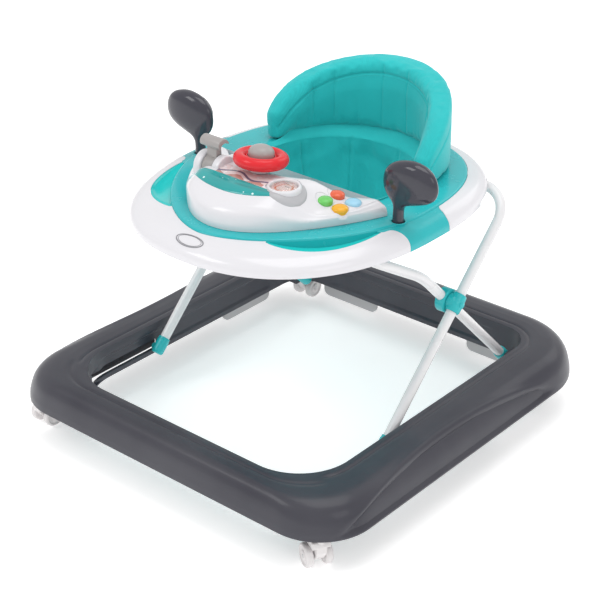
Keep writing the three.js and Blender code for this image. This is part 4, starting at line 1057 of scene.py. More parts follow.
class WALKER_OT_frame_joints(bpy.types.Operator):
    """Foot caps and crossing hubs of the scissor frame"""
    bl_idname = "walker.frame_joints"
    bl_label = "Caps and hubs"

    def execute(self, context):
        for label, side in SIDES:
            made = (
                (foot_cap(f"outer_foot_{label}", side, OUTER_X, OUTER_FOOT_Y, 1, 245.5), "front_leg",
                 f"outer_foot_cap_{label}"),
                (foot_cap(f"inner_foot_{label}", side, INNER_X, INNER_FOOT_Y, -1, 235), "rear_leg",
                 f"inner_foot_cap_{label}"),
                (hub_saddle(f"crossing_saddle_{label}", side), "front_leg", f"hub_saddle_{label}"),
                (hub_disc(f"crossing_disc_{label}", side), "rear_leg", f"hub_disc_{label}"))
            for body, rides_on, node in made:
                settled(body, "teal", rides_on, "teal", node)
        return {"FINISHED"}


# ---------------------------------------------------------------- tray
APRON_CURVE = spline([(0, 0), (0.02, 0.3), (0.14, 0.58), (0.42, 0.84), (0.75, 0.96), (1, 1)], 5)
APRON_RISE = DECK_Z - 2.5 - TRAY_EDGE_Z
WELL_FROM, WELL_TO, WELL_REACH, WELL_DEPTH = -1.02, -0.36, 30, 12
STRIP_FRONT, STRIP_REAR = -52, 40


def turns(count):
    return np.arange(count) / count * TAU


def apron_height(share):
    return TRAY_EDGE_Z + APRON_RISE * np.interp(share, APRON_CURVE[:, 0], APRON_CURVE[:, 1])


def rim_band(name, steps=264, wall=3, gap=0.3):
    """The sloping apron all the way round the tray, with a rolled lower edge."""
    angle = turns(steps)
    outer, inner = tray_edge(angle), ring_edge(angle, -gap)
    breadth = np.linalg.norm(outer - inner, axis=-1)
    over = []
    for share, rise in APRON_CURVE:
        over.append(lifted(outer + (inner - outer) * share,
                           np.full(steps, TRAY_EDGE_Z + APRON_RISE * rise)))
    over.append(lifted(inner, np.full(steps, DECK_Z - 3.4)))
    under = []
    for share, rise in APRON_CURVE[::-1]:
        drawn = np.minimum(1, share + wall / breadth)[:, None]
        height = np.maximum(TRAY_EDGE_Z - 0.8, TRAY_EDGE_Z + APRON_RISE * rise - wall)
        under.append(lifted(outer + (inner - outer) * drawn, np.full(steps, height)))
    lip = lifted(outer + (inner - outer) * (0.6 / breadth)[:, None],
                 np.full(steps, TRAY_EDGE_Z - 0.9))
    return skinned(name, np.stack(over + under + [lip], 1))


def raised_plate(name, outline, low=300, high=500):
    outline = np.asarray(outline, float)
    grid = np.stack([lifted(outline, np.full(len(outline), z)) for z in (low, high)])
    return skinned(name, grid, False, True, cap_rows=True)


def front_region(grow=0.0):
    """Plan outline of the part of the apron that the front rim takes."""
    half, corner, y = 300, 199, STRIP_FRONT + grow
    return rounded([(-half, -350), (half, -350), (half, y), (corner + 27, y), (corner + 2, y - 4),
                    (corner - 2, y - 24),
                    (corner - 34, y - 26), (34 - corner, y - 26), (2 - corner, y - 24),
                    (-corner - 2, y - 4),
                    (-corner - 27, y), (-half, y)], [0, 0, 0, 0, 15, 8, 0, 0, 8, 15, 0, 0], 8)


def rear_region(grow=0.0):
    half, corner, y = 300, 201, STRIP_REAR - grow
    return rounded([(half, 350), (-half, 350), (-half, y), (-corner - 26, y), (-corner - 4, y + 6),
                    (-corner, y + 34),
                    (30 - corner, y + 36), (corner - 30, y + 36), (corner, y + 34),
                    (corner + 4, y + 6),
                    (corner + 26, y), (half, y)], [0, 0, 0, 0, 14, 6, 0, 0, 6, 14, 0, 0], 8)


def well_outline(share, grow=0.0):
    """Plan point of the snack well's outer edge at a share of its length, and the ring beside it."""
    angle = WELL_FROM - grow * 0.02 + (WELL_TO - WELL_FROM + grow * 0.04) * share
    inner, outer = ring_edge(angle, -1.5), tray_edge(angle)
    breadth = np.linalg.norm(outer - inner, axis=-1)
    reach = (WELL_REACH * np.sin(math.pi * np.clip(share, 0, 1)) ** 0.7 + grow) / breadth
    return inner + (outer - inner) * reach[:, None], angle, reach


def snack_well(name, side):
    """A moulded bowl between the ring and the front rim."""
    rows, columns = 48, 14
    share = np.linspace(0.004, 0.996, rows)
    edge, angle, reach = well_outline(share, 0.6)
    ring = ring_edge(angle, 5)
    across = np.linspace(0, 1, columns)
    plan = ring[:, None] + (edge - ring)[:, None] * across[None, :, None]
    slope = 1 - reach[:, None] * np.clip(across * 1.2 - 0.2, 0, 1)[None, :]
    brim = apron_height(slope) - 0.8
    hollow = WELL_DEPTH * (np.sin(math.pi * share) ** 0.8)[:, None] * (
        1 - np.clip(across, 0, 1) ** 3.2)[None, :] ** 0.8
    top = lifted(plan, brim - hollow)
    bottom = top.copy()
    bottom[..., 2] -= 1.8
    grid = np.concatenate([top, bottom[:, ::-1]], 1)
    grid[..., 0] *= side
    return skinned(name, grid, False, True, cap_rows=True)


def deck_section(steps=264):
    """The raised teal ring and deck, with a rounded lip at both of its edges."""
    angle = turns(steps)
    low, under = TRAY_EDGE_Z + 14, DECK_Z - 5
    levels = [(ring_edge(angle), low), (ring_edge(angle), DECK_Z - 4)]
    for turn in np.linspace(0, math.pi / 2, 7)[1:]:
        levels.append((ring_edge(angle, 4 * (1 - math.cos(turn))), DECK_Z - 4 + 4 * math.sin(turn)))
    levels.append((ring_edge(angle, 15), DECK_Z))
    middle = [0.25, 0.5, 0.75]
    for share in middle:
        levels.append((ring_edge(angle, 15) * (1 - share) + hole_edge(angle, -8) * share, DECK_Z))
    for turn in np.linspace(0, math.pi / 2, 6):
        levels.append((hole_edge(angle, -6 * (1 - math.sin(turn))),
                       DECK_Z - 6 * (1 - math.cos(turn))))
    levels += [(hole_edge(angle), low + 2), (hole_edge(angle, -3), low + 2),
               (hole_edge(angle, -4), under - 3),
               (hole_edge(angle, -9), under), (ring_edge(angle, 8), under),
               (ring_edge(angle, 4), under - 2),
               (ring_edge(angle, 4), low)]
    return np.stack([lifted(plan, np.full(steps, z)) for plan, z in levels], 1)


def bar_room():
    """Space under the rear of the tray for the outer tube's crossbar."""
    y, z = OUTER_BAR
    pin = turned("room", [(0, -246), (10.6, -246), (10.6, 246), (0, 246)], (0, y, z), (1, 0, 0), 32)
    below = cutting_box((-246, y - 60, 300), (246, y + 10.5, z + 3))
    return combined(pin, below, "UNION")


def hollow_socket(label, side):
    """The cup in the deck that a mirror's stem stands in."""
    profile = rounded([(MIRROR_BORE, -0.6), (11.4, 0.5), (12.2, 0.1), (12.2, -0.6), (12, -1), (12, -12),
                       (0, -12), (0, -10.5), (MIRROR_BORE, -10.5)], 0.5, 2, closed=False)
    return turned(f"mirror_socket_{label}", profile, (side * MIRROR_X, MIRROR_Y, DECK_Z), (0, 0, 1),
                  48)


class WALKER_OT_tray(bpy.types.Operator):
    """White rims, teal deck with its side strips, and the two snack wells"""
    bl_idname = "walker.tray"
    bl_label = "Tray"

    def execute(self, context):
        wells = []
        for side in (1, -1):
            edge, _, _ = well_outline(np.linspace(0.002, 0.998, 40), 0.9)
            ring = ring_edge(np.linspace(WELL_TO + 0.02, WELL_FROM - 0.02, 24), 12)
            outline = np.vstack([edge, ring]) * np.array([side, 1])
            wells.append(raised_plate("well_cut", outline))
        front = combined(rim_band("rim_front_shell"), raised_plate("front_plate", front_region()),
                         "INTERSECT")
        for well in wells:
            front = combined(front, well, "DIFFERENCE")
        settled(softened(front, 0.9, 3, 42), "white", "tray", "white", "rim_front")
        rear = combined(rim_band("rim_rear_shell"), raised_plate("rear_plate", rear_region()),
                        "INTERSECT")
        rear = combined(rear, bar_room(), "DIFFERENCE")
        settled(softened(rear, 0.9, 3, 42), "white", "tray", "white", "rim_rear")

        strips = combined(rim_band("side_strips", gap=-3),
                          raised_plate("front_plate", front_region(0.5)), "DIFFERENCE")
        strips = combined(strips, raised_plate("rear_plate", rear_region(0.5)), "DIFFERENCE")
        deck = skinned("deck_body", deck_section())
        deck = combined(deck, strips, "UNION")
        deck = combined(deck, bar_room(), "DIFFERENCE")
        for side in (1, -1):
            bore = turned("bore", [(0, -9), (MIRROR_BORE, -9), (MIRROR_BORE, 9), (0, 9)],
                          (side * MIRROR_X, MIRROR_Y, DECK_Z), (0, 0, 1), 48)
            deck = combined(deck, bore, "DIFFERENCE")
        settled(crisp(deck, 34), "teal", "tray", "teal", "tray_deck")
        for label, side in SIDES:
            settled(crisp(snack_well(f"snack_bowl_{label}", side), 50), "aqua", "tray", "aqua",
                    f"snack_well_{label}")
            settled(crisp(hollow_socket(label, side)), "teal", "tray", "teal")
        return {"FINISHED"}


class WALKER_OT_badge(bpy.types.Operator):
    """A plain oval outline on the front rim"""
    bl_idname = "walker.badge"
    bl_label = "Oval badge"

    def execute(self, context):
        rim = surface_tree(bpy.data.objects["rim_front_shell"])
        for name, share, radius in (("badge_outline", 1.0, 0.95), ("badge_inner_line", 0.86, 0.4)):
            points = []
            for angle in turns(72):
                x = 3 + 24 * share * math.cos(angle)
                y = -263 + 9.8 * share * math.sin(angle)
                points.append((x, y, down_to(rim, x, y) + 0.05))
            ring = tube(name, points, radius, "outline", closed=True, sides=10)
            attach(ring, "tray")
        return {"FINISHED"}


class WALKER_OT_tray_underside(bpy.types.Operator):
    """Clamps on the crossbar, the height rack and its latch"""
    bl_idname = "walker.tray_underside"
    bl_label = "Clamps, rack and latch"

    def execute(self, context):
        for node, name, finish, rides_on in (
                ("bar_clamp_left", "crossbar_clamp_left", "white", "tray"),
                ("bar_clamp_right", "crossbar_clamp_right", "white", "tray"),
                ("height_rack", "height_rack_moulded", "white", "tray"),
                ("height_latch", "height_latch_moulded", "teal", "latch")):
            body = softened(merged_copy(node, name), 0.9, 2)
            settled(body, finish, rides_on, "teal" if finish == "teal" else "white", node)
        return {"FINISHED"}


# ---------------------------------------------------------------- console
CONSOLE_HALF, CONSOLE_FRONT, CONSOLE_DROP = 172, 220, 28
CONSOLE_TIP_Y, CONSOLE_WAIST_Y = -30, -98
CONSOLE_BOW = 0.0033 * CONSOLE_HALF ** 2
CONSOLE_PILLOW = 3.2
CONSOLE_LEVELS = spline([(0, 0, 0, 1.85), (0, 0, 0.2, 1.8), (4, 2, 0.5, 1.6), (14, 5, 0.68, 1.4),
                         (24, 8, 0.78, 1.25), (46, 13, 0.97, 0.95), (56, 18, 1, 0.85)], 6)


def console_height(x):
    return CONSOLE_HEIGHT - CONSOLE_DROP * smooth_step(np.abs(x), 66, 124)


def console_grid(stations=150, across=16):
    """The console's skin: for each station along it, up the front, over the top and down its back."""
    turn = np.linspace(-math.pi / 2, math.pi / 2, stations)
    front, back = [], []
    for inset, around, share, power in CONSOLE_LEVELS:
        half = CONSOLE_HALF - around
        x = half * np.sin(turn)
        cosine = np.clip(np.cos(turn), 0, 1)
        outer = CONSOLE_TIP_Y - (CONSOLE_FRONT + CONSOLE_TIP_Y - inset) * cosine ** power
        part = np.abs(x) / half
        lean = 0.4 * around
        bow = CONSOLE_WAIST_Y - lean + CONSOLE_BOW * part ** 2
        tip = CONSOLE_WAIST_Y - lean + CONSOLE_BOW - CONSOLE_TIP_Y
        inner = bow - tip * part ** 12
        z = CONSOLE_Z + console_height(x) * share - CONSOLE_PILLOW * smooth_step(share, 0.55, 1)
        front.append(np.stack([x, outer, z], -1))
        back.append(np.stack([x, inner, z], -1))
    steps = np.linspace(0, 1, across + 2)[1:-1]
    crown = CONSOLE_PILLOW * np.sin(math.pi * steps) ** 0.6
    breadth = np.linalg.norm(front[-1] - back[-1], axis=-1)
    top = [front[-1] + (back[-1] - front[-1]) * s
           + np.stack([0 * breadth, 0 * breadth, rise * np.minimum(1, breadth / 60)], -1)
           for s, rise in zip(steps, crown)]
    floor = [back[0] + (front[0] - back[0]) * s for s in (0.33, 0.66)]
    return np.stack(front + top + back[::-1] + floor, 1)


def console_surface():
    return surface_tree(bpy.data.objects["console_body"])


def draped_patch(name, outline, columns, tree, lift, thickness, crown=0.0):
    """A thin moulded patch on a surface: outline gives its near and far plan edges."""
    near, far = outline
    rows = len(near)
    across = np.linspace(0, 1, columns)
    plan = near[:, None] + (far - near)[:, None] * across[None, :, None]
    z = np.array([[down_to(tree, *p) for p in row] for row in plan])
    along = np.linspace(0, 1, rows)
    edge = np.minimum(np.minimum(across, 1 - across)[None, :] * 8,
                      np.minimum(along, 1 - along)[:, None] * 16)
    dome = crown * (np.sin(math.pi * across)[None, :] * np.sin(math.pi * along)[:, None]) ** 0.5
    top = lifted(plan, z + lift * np.clip(edge, 0, 1) ** 0.5 + dome)
    bottom = lifted(plan, z - thickness)
    return skinned(name, np.concatenate([top, bottom[:, ::-1]], 1), False, True, cap_rows=True)


def star_outline(rows=56):
    """The starry window's front and rear edges, pointed at its right end and blunt at the other."""
    x = np.linspace(-88, 78, rows)
    share = (x + 88) / 166
    body = np.sin(math.pi * np.clip(share, 0.0015, 0.9985)) ** np.where(share < 0.5, 0.45, 0.85)
    spine = -158 + 5.5 * (x / 82) ** 2
    return (np.stack([x, spine - 27 * body], -1), np.stack([x, spine + 5 * body], -1))


def dial_bore(base):
    return turned("bore", [(0, 3.6), (DIAL_RADIUS + 0.3, 3.6), (DIAL_RADIUS + 0.3, 40), (0, 40)],
                  (DIAL_X, DIAL_Y, base), sides=72)


class WALKER_OT_console(bpy.types.Operator):
    """Toy console shell with its starry window, picture panel and dial"""
    bl_idname = "walker.console"
    bl_label = "Console"

    def execute(self, context):
        body = skinned("console_body", console_grid())
        tree = surface_tree(body)
        base = CONSOLE_Z + console_height(DIAL_X) - DIAL_SINK
        body = combined(body, dial_bore(base), "DIFFERENCE")
        settled(crisp(body, 60), "white", "tray", "white", "console_shell")
        stars = draped_patch("star_window_lens", star_outline(), 20, tree, 1.1, 1.5, 1.2)
        stars = combined(stars, dial_bore(base), "DIFFERENCE")
        settled(crisp(stars, 50), "stars", "tray", "star_teal", "star_window")
        x = np.linspace(-50, 40, 40)
        near = np.stack([x, -153 + 3 * (x / 82) ** 2], -1)
        far = np.stack([x, np.full(40, -124.0)], -1)
        panel = draped_patch("picture_panel", (near, far), 12, tree, 0.5, 1.2)
        settled(crisp(panel, 50), "picture", "tray", "white")

        profile = rounded([(0, 4), (DIAL_RADIUS, 4), (DIAL_RADIUS, 11.5),
                           (DIAL_RADIUS - 2.6, 14.6), (DIAL_RADIUS - 5.6, 13.4),
                           (DIAL_RADIUS - 6, 10.5), (DIAL_RADIUS - 6.2, 7), (0, 7)],
                          1.6, 4, closed=False)
        bezel = turned("dial_bezel_ring", profile, (DIAL_X, DIAL_Y, base), sides=72)
        settled(crisp(bezel, 40), "white", "tray", "white", "dial_bezel")
        profile = rounded([(0, 6.6), (DIAL_RADIUS - 6.4, 6.6), (DIAL_RADIUS - 6.4, 8.4), (0, 9.2)],
                          0.4, 2, closed=False)
        face = turned("dial_picture_disc", profile, (DIAL_X, DIAL_Y, base), sides=60)
        settled(crisp(face, 40), "dial", "tray", "white")
        radius = DIAL_RADIUS - 6.5
        dome = [(radius * math.sin(t), 10.4 + 5.6 * math.cos(t))
                for t in np.linspace(math.pi / 2, 0, 12)]
        inside = [((radius - 1) * math.sin(t), 10.2 + 4.6 * math.cos(t))
                  for t in np.linspace(0, math.pi / 2, 12)]
        lens = turned("dial_dome", np.array([(radius, 9.6)] + dome[:-1] + [(0, 16)] + [(0, 14.8)]
                                            + inside[1:] + [(radius - 1, 9.6)]),
                      (DIAL_X, DIAL_Y, base), sides=60, closed=True)
        settled(crisp(lens, 40), "clear", "tray", "clear", "dial_lens")
        angle = np.linspace(-2.05, 0.95, 48)
        depth = 11.5 * np.sin(np.linspace(0.02, 0.98, 48) * math.pi) ** 0.6
        centre = np.array([DIAL_X, DIAL_Y])
        ray = np.stack([np.cos(angle), np.sin(angle)], -1)
        crescent = draped_patch("dial_crescent", (centre + ray * (DIAL_RADIUS - 1.5),
                                                  centre + ray * (DIAL_RADIUS + depth)[:, None]),
                                9, tree, 1.4, 1.5, 0.6)
        settled(crisp(crescent, 50), "crescent", "tray", "grey")
        return {"FINISHED"}


def upright(tilt, y, z):
    return Matrix.Translation((0, y * MM, z * MM)) @ Matrix.Rotation(-tilt, 4, "X")


class WALKER_OT_steering(bpy.types.Operator):
    """Steering wheel on its column, with the domed horn"""
    bl_idname = "walker.steering"
    bl_label = "Steering wheel"

    def execute(self, context):
        profile = rounded([(0, -26), (8, -26), (8.5, -17), (19, -16.4), (17.5, -13), (14, -9.6),
                           (0, -9.4)], 1.4, 4, closed=False)
        column = turned("column_moulded", profile, (0, STEER_Y, STEER_Z), sides=56)
        settled(crisp(column), "white", "tray", "white", "steering_column")
        section = 9.5
        ring = STEER_RADIUS - section
        rim = [(ring + section * math.cos(t), section * math.sin(t))
               for t in np.linspace(0, TAU, 28, endpoint=False)]
        torus = turned("rim", rim, sides=96, closed=True)
        profile = rounded([(0, -6), (ring - 1, -6), (ring, 0), (23.5, 1.2), (21.8, 5.6), (20, 5.6),
                           (20, -2.4), (0, -2.4)], 1.0, 3, closed=False)
        web = turned("web", profile, sides=72)
        wheel = moved(joined("wheel_rim_and_web", torus, crisp(web)),
                      upright(STEER_TILT, STEER_Y, STEER_Z))
        settled(wheel, "red", "steering", "red", "steering_wheel")
        dome = [(19.4 * math.sin(t) ** 0.82, 8.5 + 12.4 * math.cos(t))
                for t in np.linspace(math.pi / 2, 0, 22)]
        horn = turned("horn_dome", np.array([(0, 2.0), (19.0, 2.0), (19.4, 2.6)] + dome[:-1]
                                            + [(0, 20.9)]), sides=72)
        moved(horn, upright(STEER_TILT, STEER_Y, STEER_Z))
        settled(crisp(horn, 40), "grey", "horn", "grey", "horn_button")
        return {"FINISHED"}


def along_x(name, outline, low, high, radius, segments=3):
    """A plate with an outline of (y, z) points, from x = low to x = high, its edges rounded."""
    outline = np.asarray(outline, float)
    grid = np.stack([np.insert(outline, 0, x, axis=1) for x in (low, high)])
    return softened(skinned(name, grid, False, True, cap_rows=True), radius, segments, 35)


class WALKER_OT_gear_lever(bpy.types.Operator):
    """Gear lever between two arched cheeks"""
    bl_idname = "walker.gear_lever"
    bl_label = "Gear lever"

    def execute(self, context):
        def arch(radius, foot, steps=28):
            over = [(GEAR_Y + radius * math.cos(t), GEAR_Z + radius * math.sin(t))
                    for t in np.linspace(0, math.pi, steps)]
            return over + [(GEAR_Y - radius, foot), (GEAR_Y + radius, foot)]
        cheeks = [along_x("cheek", arch(21.5, GEAR_Z - 14), GEAR_X + low, GEAR_X + high, 2.4, 4)
                  for low, high in ((-24, -11), (11, 24))]
        settled(joined("gear_cheeks", *cheeks), "white", "tray", "white")
        # A near-black plate in the slot, seen in the gaps beside the lever: painted shade between the
        # parts.
        settled(along_x("gear_gap_shade", arch(15.5, GEAR_Z - 12), GEAR_X - 12, GEAR_X + 12, 0.6),
                "recess", "tray", "grey")
        hub = along_x("hub", arch(18.5, GEAR_Z - 8), GEAR_X - 9.5, GEAR_X + 9.5, 0.8)
        blade = rounded([(GEAR_Y - 7, GEAR_Z + 8), (GEAR_Y - 3.5, GEAR_Z + 42),
                         (GEAR_Y + 3.5, GEAR_Z + 42),
                         (GEAR_Y + 7, GEAR_Z + 8)], 1.5, 3)
        arm = along_x("arm", blade, GEAR_X - 9.5, GEAR_X + 9.5, 1.4, 3)
        roll = spline([(-8.5, 33), (-10.5, 37), (-8.5, 43.5), (-2, 47), (5, 46), (9.5, 42.5),
                       (12, 38.5), (10.5, 37),
                       (6.5, 39), (1, 39.5), (-3.5, 37), (-6, 33)], 5)
        grip = along_x("grip", roll + np.array([GEAR_Y, GEAR_Z]), GEAR_X - 19, GEAR_X + 19, 1.4, 3)
        settled(joined("gear_lever_moulded", hub, arm, grip), "grey", "gear", "grey", "gear_lever")
        return {"FINISHED"}


class WALKER_OT_buttons(bpy.types.Operator):
    """Four domed buttons in their moulded seats"""
    bl_idname = "walker.buttons"
    bl_label = "Buttons"

    def execute(self, context):
        tree = console_surface()
        for name, (x, y) in BUTTONS.items():
            top = down_to(tree, x, y) - 0.4
            dome = [(12.2 * math.sin(t) ** 0.85, 0.6 + 5.2 * math.cos(t))
                    for t in np.linspace(math.pi / 2, 0, 14)]
            cap = turned(f"{name}_dome", np.array([(0, -8), (11, -8), (12.2, -2)] + dome[:-1]
                                                  + [(0, 5.8)]),
                         (x, y, top), sides=48)
            settled(crisp(cap, 45), name, f"button_{name}", name, f"button_{name}")
            angle = turns(56)
            inner, outer = [], []
            for turn in angle:
                ray = np.array([math.cos(turn), math.sin(turn)])
                for store, radius, lift in ((inner, 12.5, 0.5), (outer, 14.0, -0.4)):
                    px, py = np.array([x, y]) + ray * radius
                    hit = tree.ray_cast(Vector((px * MM, py * MM, 1)), Vector((0, 0, -1)))[0]
                    store.append((px, py, (hit.z / MM if hit else top - 8) + lift))
            inner, outer = np.array(inner), np.array(outer)
            middle = (inner + outer) / 2 + np.array([0, 0, 0.7])
            low = np.array([0, 0, 3.0])
            ring = skinned(f"{name}_seat", np.stack([inner, middle, outer, outer - low,
                                                     inner - low], 1))
            settled(crisp(ring, 60), "white", "tray", "white")
        return {"FINISHED"}


# ---------------------------------------------------------------- play mirrors
MIRROR_FORM = spline([(-10, 8.5, 0, 8.5), (0, 8.4, 0, 8.4), (12, 8.0, 0, 8.2), (22, 8.8, 1, 8.6),
                      (29, 14.5, 4, 9.6),
                      (36, 29, 11, 12), (42, 38, 15.5, 14.4), (51, 44.5, 18.5, 16.4),
                      (63, 46.5, 20, 17),
                      (75, 43.8, 20.5, 16.4), (85, 36.5, 21.5, 14.6), (92, 25.5, 22.5, 11.2),
                      (96, 12.5, 23.2, 6.2)], 6)


def mirror_shell(name, side, steps=64):
    """The paddle behind a play mirror, on its stem: round, and flat where the mirror sits."""
    angle = turns(steps)
    levels = []
    flat = MIRROR_Y + 7.65
    for height, half, shift, depth in MIRROR_FORM:
        x = MIRROR_X + shift + half * np.cos(angle)
        y = MIRROR_Y - depth * np.sin(angle)
        levels.append(np.stack([side * x, np.minimum(y, flat), np.full(steps, DECK_Z + height)], -1))
    levels.append(np.tile([side * (MIRROR_X + 23.4), MIRROR_Y, DECK_Z + 97.4], (steps, 1)))
    levels.insert(0, np.tile([side * MIRROR_X, MIRROR_Y, DECK_Z - 10], (steps, 1)))
    return skinned(name, np.stack(levels), False, True)


class WALKER_OT_mirrors(bpy.types.Operator):
    """Two play mirrors on turning stems"""
    bl_idname = "walker.mirrors"
    bl_label = "Play mirrors"

    def execute(self, context):
        for label, side in SIDES:
            settled(crisp(mirror_shell(f"mirror_paddle_{label}", side), 55), "dark",
                    f"mirror_{label}", "dark",
                    f"mirror_{label}")
            place = (Matrix.Translation((side * (MIRROR_X + 20) * MM, (MIRROR_Y + 7.7) * MM,
                                         (DECK_Z + 63) * MM))
                     @ Matrix.Rotation(side * 0.12, 4,
                                       "Y") @ Matrix.Diagonal((46 * 0.8, 1, 34 * 0.78, 1)))
            face = turned(f"mirror_film_{label}", [(0, 0), (1, 0), (1, 1.3), (0.985, 1.6), (0, 1.9)],
                          (0, 0, 0), (0, 1, 0), 72)
            settled(crisp(moved(face, place), 40), "mirror", f"mirror_{label}", "mirror",
                    f"mirror_face_{label}")
            profile = rounded([(0.98, -0.2), (1.1, -0.2), (1.1, 1.4), (1.04, 2.3), (0.98, 1.6)],
                              0.02, 2)
            rim = turned(f"mirror_bead_{label}", profile, (0, 0, 0), (0, 1, 0), 72, True)
            settled(crisp(moved(rim, place), 50), "dark", f"mirror_{label}", "dark")
        return {"FINISHED"}


# ---------------------------------------------------------------- seat
BACK_MIDDLE = (BACK_RADIUS + BACK_INNER) / 2
BACK_BAND = 25
BACK_REACH = 15


def back_top(offset):
    """Height of the seat back's upper edge, at a distance behind the middle of its horseshoe."""
    share = np.clip((offset + BACK_REACH) / (BACK_MIDDLE + BACK_REACH), 0, 1)
    return DECK_Z + 14 + (BACK_HEIGHT - 14) * np.maximum(0.3, share ** 0.42)


def seat_back_form(slim=2.6, steps=84):
    """The pad before it is stuffed: the horseshoe made slimmer all round."""
    angle = np.linspace(0, math.pi, steps)
    ends = [(BACK_REACH, 8), (0.86 * BACK_REACH, 3), (0.5 * BACK_REACH, 0.5)]
    rows = []
    for turn, ahead, drawn in ([(0, *e) for e in ends] + [(a, 0, 0) for a in angle]
                               + [(math.pi, *e) for e in ends[::-1]]):
        top = float(back_top(BACK_MIDDLE * math.sin(turn) - ahead)) + 1.4 - drawn
        foot = DECK_Z + 1.5
        inner, outer = BACK_INNER + slim + drawn, BACK_RADIUS - slim - drawn
        section = rounded([(inner, foot), (outer, foot), (outer + 1, top - 4), (outer - 5, top),
                           (inner + 5, top),
                           (inner, top - 6)], [2, 2, 8, 8, 8, 8], 3)
        rows.append([(r * math.cos(turn), BACK_Y - ahead + r * math.sin(turn), z) for r,
                     z in section])
    return skinned("seat_back_form", np.array(rows), False, True, cap_rows=True)


def stuffed(body, voxel, limit, pressure=4.0, frames=20):
    """Swells a closed form by a short cloth simulation, no point moving further than the limit."""
    with_modifier(body, "REMESH", mode="VOXEL", voxel_size=voxel * MM)
    before = np.array([v.co[:] for v in body.data.vertices])
    modifier = body.modifiers.new("stuffing", "CLOTH")
    cloth_settings = modifier.settings
    cloth_settings.quality = 6
    cloth_settings.mass = 0.25
    cloth_settings.use_pressure = True
    cloth_settings.uniform_pressure_force = pressure
    cloth_settings.effector_weights.gravity = 0
    modifier.point_cache.frame_start = 1
    modifier.point_cache.frame_end = frames
    scene = bpy.context.scene
    for frame_number in range(1, frames + 1):
        scene.frame_set(frame_number)
    evaluated = body.evaluated_get(bpy.context.evaluated_depsgraph_get())
    after = np.array([v.co[:] for v in evaluated.data.vertices])
    body.modifiers.remove(modifier)
    scene.frame_set(1)
    move = after - before
    length = np.linalg.norm(move, axis=1, keepdims=True)
    move *= np.minimum(1, limit * MM / np.maximum(length, 1e-9))
    set_points(body, before + move)
    return body


def set_points(body, points):
    body.data.vertices.foreach_set("co", np.asarray(points, dtype=np.float32).ravel())
    body.data.update()


def points_of(body):
    flat = np.empty(len(body.data.vertices) * 3, dtype=np.float32)
    body.data.vertices.foreach_get("co", flat)
    return flat.reshape(-1, 3).astype(float) / MM


def normals_of(body):
    return np.array([n.vector[:] for n in body.data.vertex_normals])


def cloth_map(body, around, up):
    """Stores a map in metres for the weave: one value along the piece and one up it."""
    layer = body.data.uv_layers.new(name="cloth")
    places = np.stack([around, up], -1) * MM
    corners = np.empty(len(body.data.loops), dtype=np.int32)
    body.data.loops.foreach_get("vertex_index", corners)
    layer.data.foreach_set("uv", places[corners].astype(np.float32).ravel())


def back_shape(points):
    """Angle round the horseshoe, distance from its middle, height over the deck, drop below its top."""
    x, y, z = points[:, 0], points[:, 1] - BACK_Y, points[:, 2]
    angle = np.arctan2(np.maximum(y, 0), x)
    offset = np.where(y > 0, BACK_MIDDLE * np.sin(angle), y)
    return angle, np.where(y > 0, np.hypot(x, y), np.abs(x)), z - DECK_Z, back_top(offset) - z


class WALKER_OT_seat_back(bpy.types.Operator):
    """Padded seat back: a rolled upper band, a plump inner panel and a gathered lower seam"""
    bl_idname = "walker.seat_back"
    bl_label = "Seat back"

    def execute(self, context):
        body = subdivided(stuffed(seat_back_form(), 5.0, 6.5), 2)
        body.name = "seat_back_pad"
        points, normal = points_of(body), normals_of(body)
        angle, radius, height, drop = back_shape(points)
        depth = sizes().seam_depth / MM
        inward = smooth_step(BACK_MIDDLE - 4 - radius, 0, 6)
        outward = smooth_step(radius - BACK_MIDDLE - 4, 0, 6)
        along = angle * BACK_INNER
        reach = smooth_step(np.sin(angle), 0.05, 0.5)
        move = -depth * bell(drop - BACK_BAND, 2.6) * inward
        below_seam = smooth_step(drop, BACK_BAND + 3, BACK_BAND + 26)
        move += 2.2 * inward * below_seam * smooth_step(height, 2, 26)
        move -= depth * 0.8 * bell(drop - BACK_BAND * 1.1, 2.2) * outward
        gathers = (np.sin(along / 4.6 + 1.8 * np.sin(along / 23)) + 0.6 * np.sin(along / 2.9 + 1.1))
        patches = 0.35 + 0.65 * smooth_step(np.sin(along / 41 + 2.2), -0.2, 0.7)
        move += 1.15 * gathers * patches * np.exp(-np.maximum(height, 0) / 15) * inward
        ripple = 0.9 * np.sin(along / 8.3 + 0.7 * np.sin(along / 19))
        move += ripple * np.exp(-np.maximum(height, 0) / 12) * outward
        move += 0.9 * np.sin(along / 37 + 0.6) * np.sin(height / 23) * reach * (inward + outward)
        points += normal * move[:, None]
        points[:, 2] = np.maximum(points[:, 2], DECK_Z + 0.6)
        set_points(body, points * MM)
        body.data.shade_smooth()
        around = np.arctan2(np.maximum(points[:, 1] - BACK_Y, 0), points[:, 0]) * (BACK_RADIUS - 12)
        cloth_map(body, around + (points[:, 1] - BACK_Y).clip(max=0),
                  points[:, 2] + np.abs(radius - BACK_MIDDLE))
        settled(body, "fabric", "tray", "teal_fabric", "seat_back")

        tree = surface_tree(body)
        line = []
        for turn in np.linspace(0.32, math.pi - 0.32, 150):
            z = float(back_top(BACK_MIDDLE * math.sin(turn))) - BACK_BAND - 3.4
            ray = Vector((math.cos(turn), math.sin(turn), 0))
            hit = tree.ray_cast(Vector((0, BACK_Y * MM, z * MM)), ray)[0]
            if hit is None:
                raise RuntimeError("the upper seam leaves the pad")
            line.append(tuple(np.array(hit) / MM - np.array(ray) * 0.2))
        sewn = stitches("seat_back_stitches", line)
        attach(sewn, "tray")
        return {"FINISHED"}


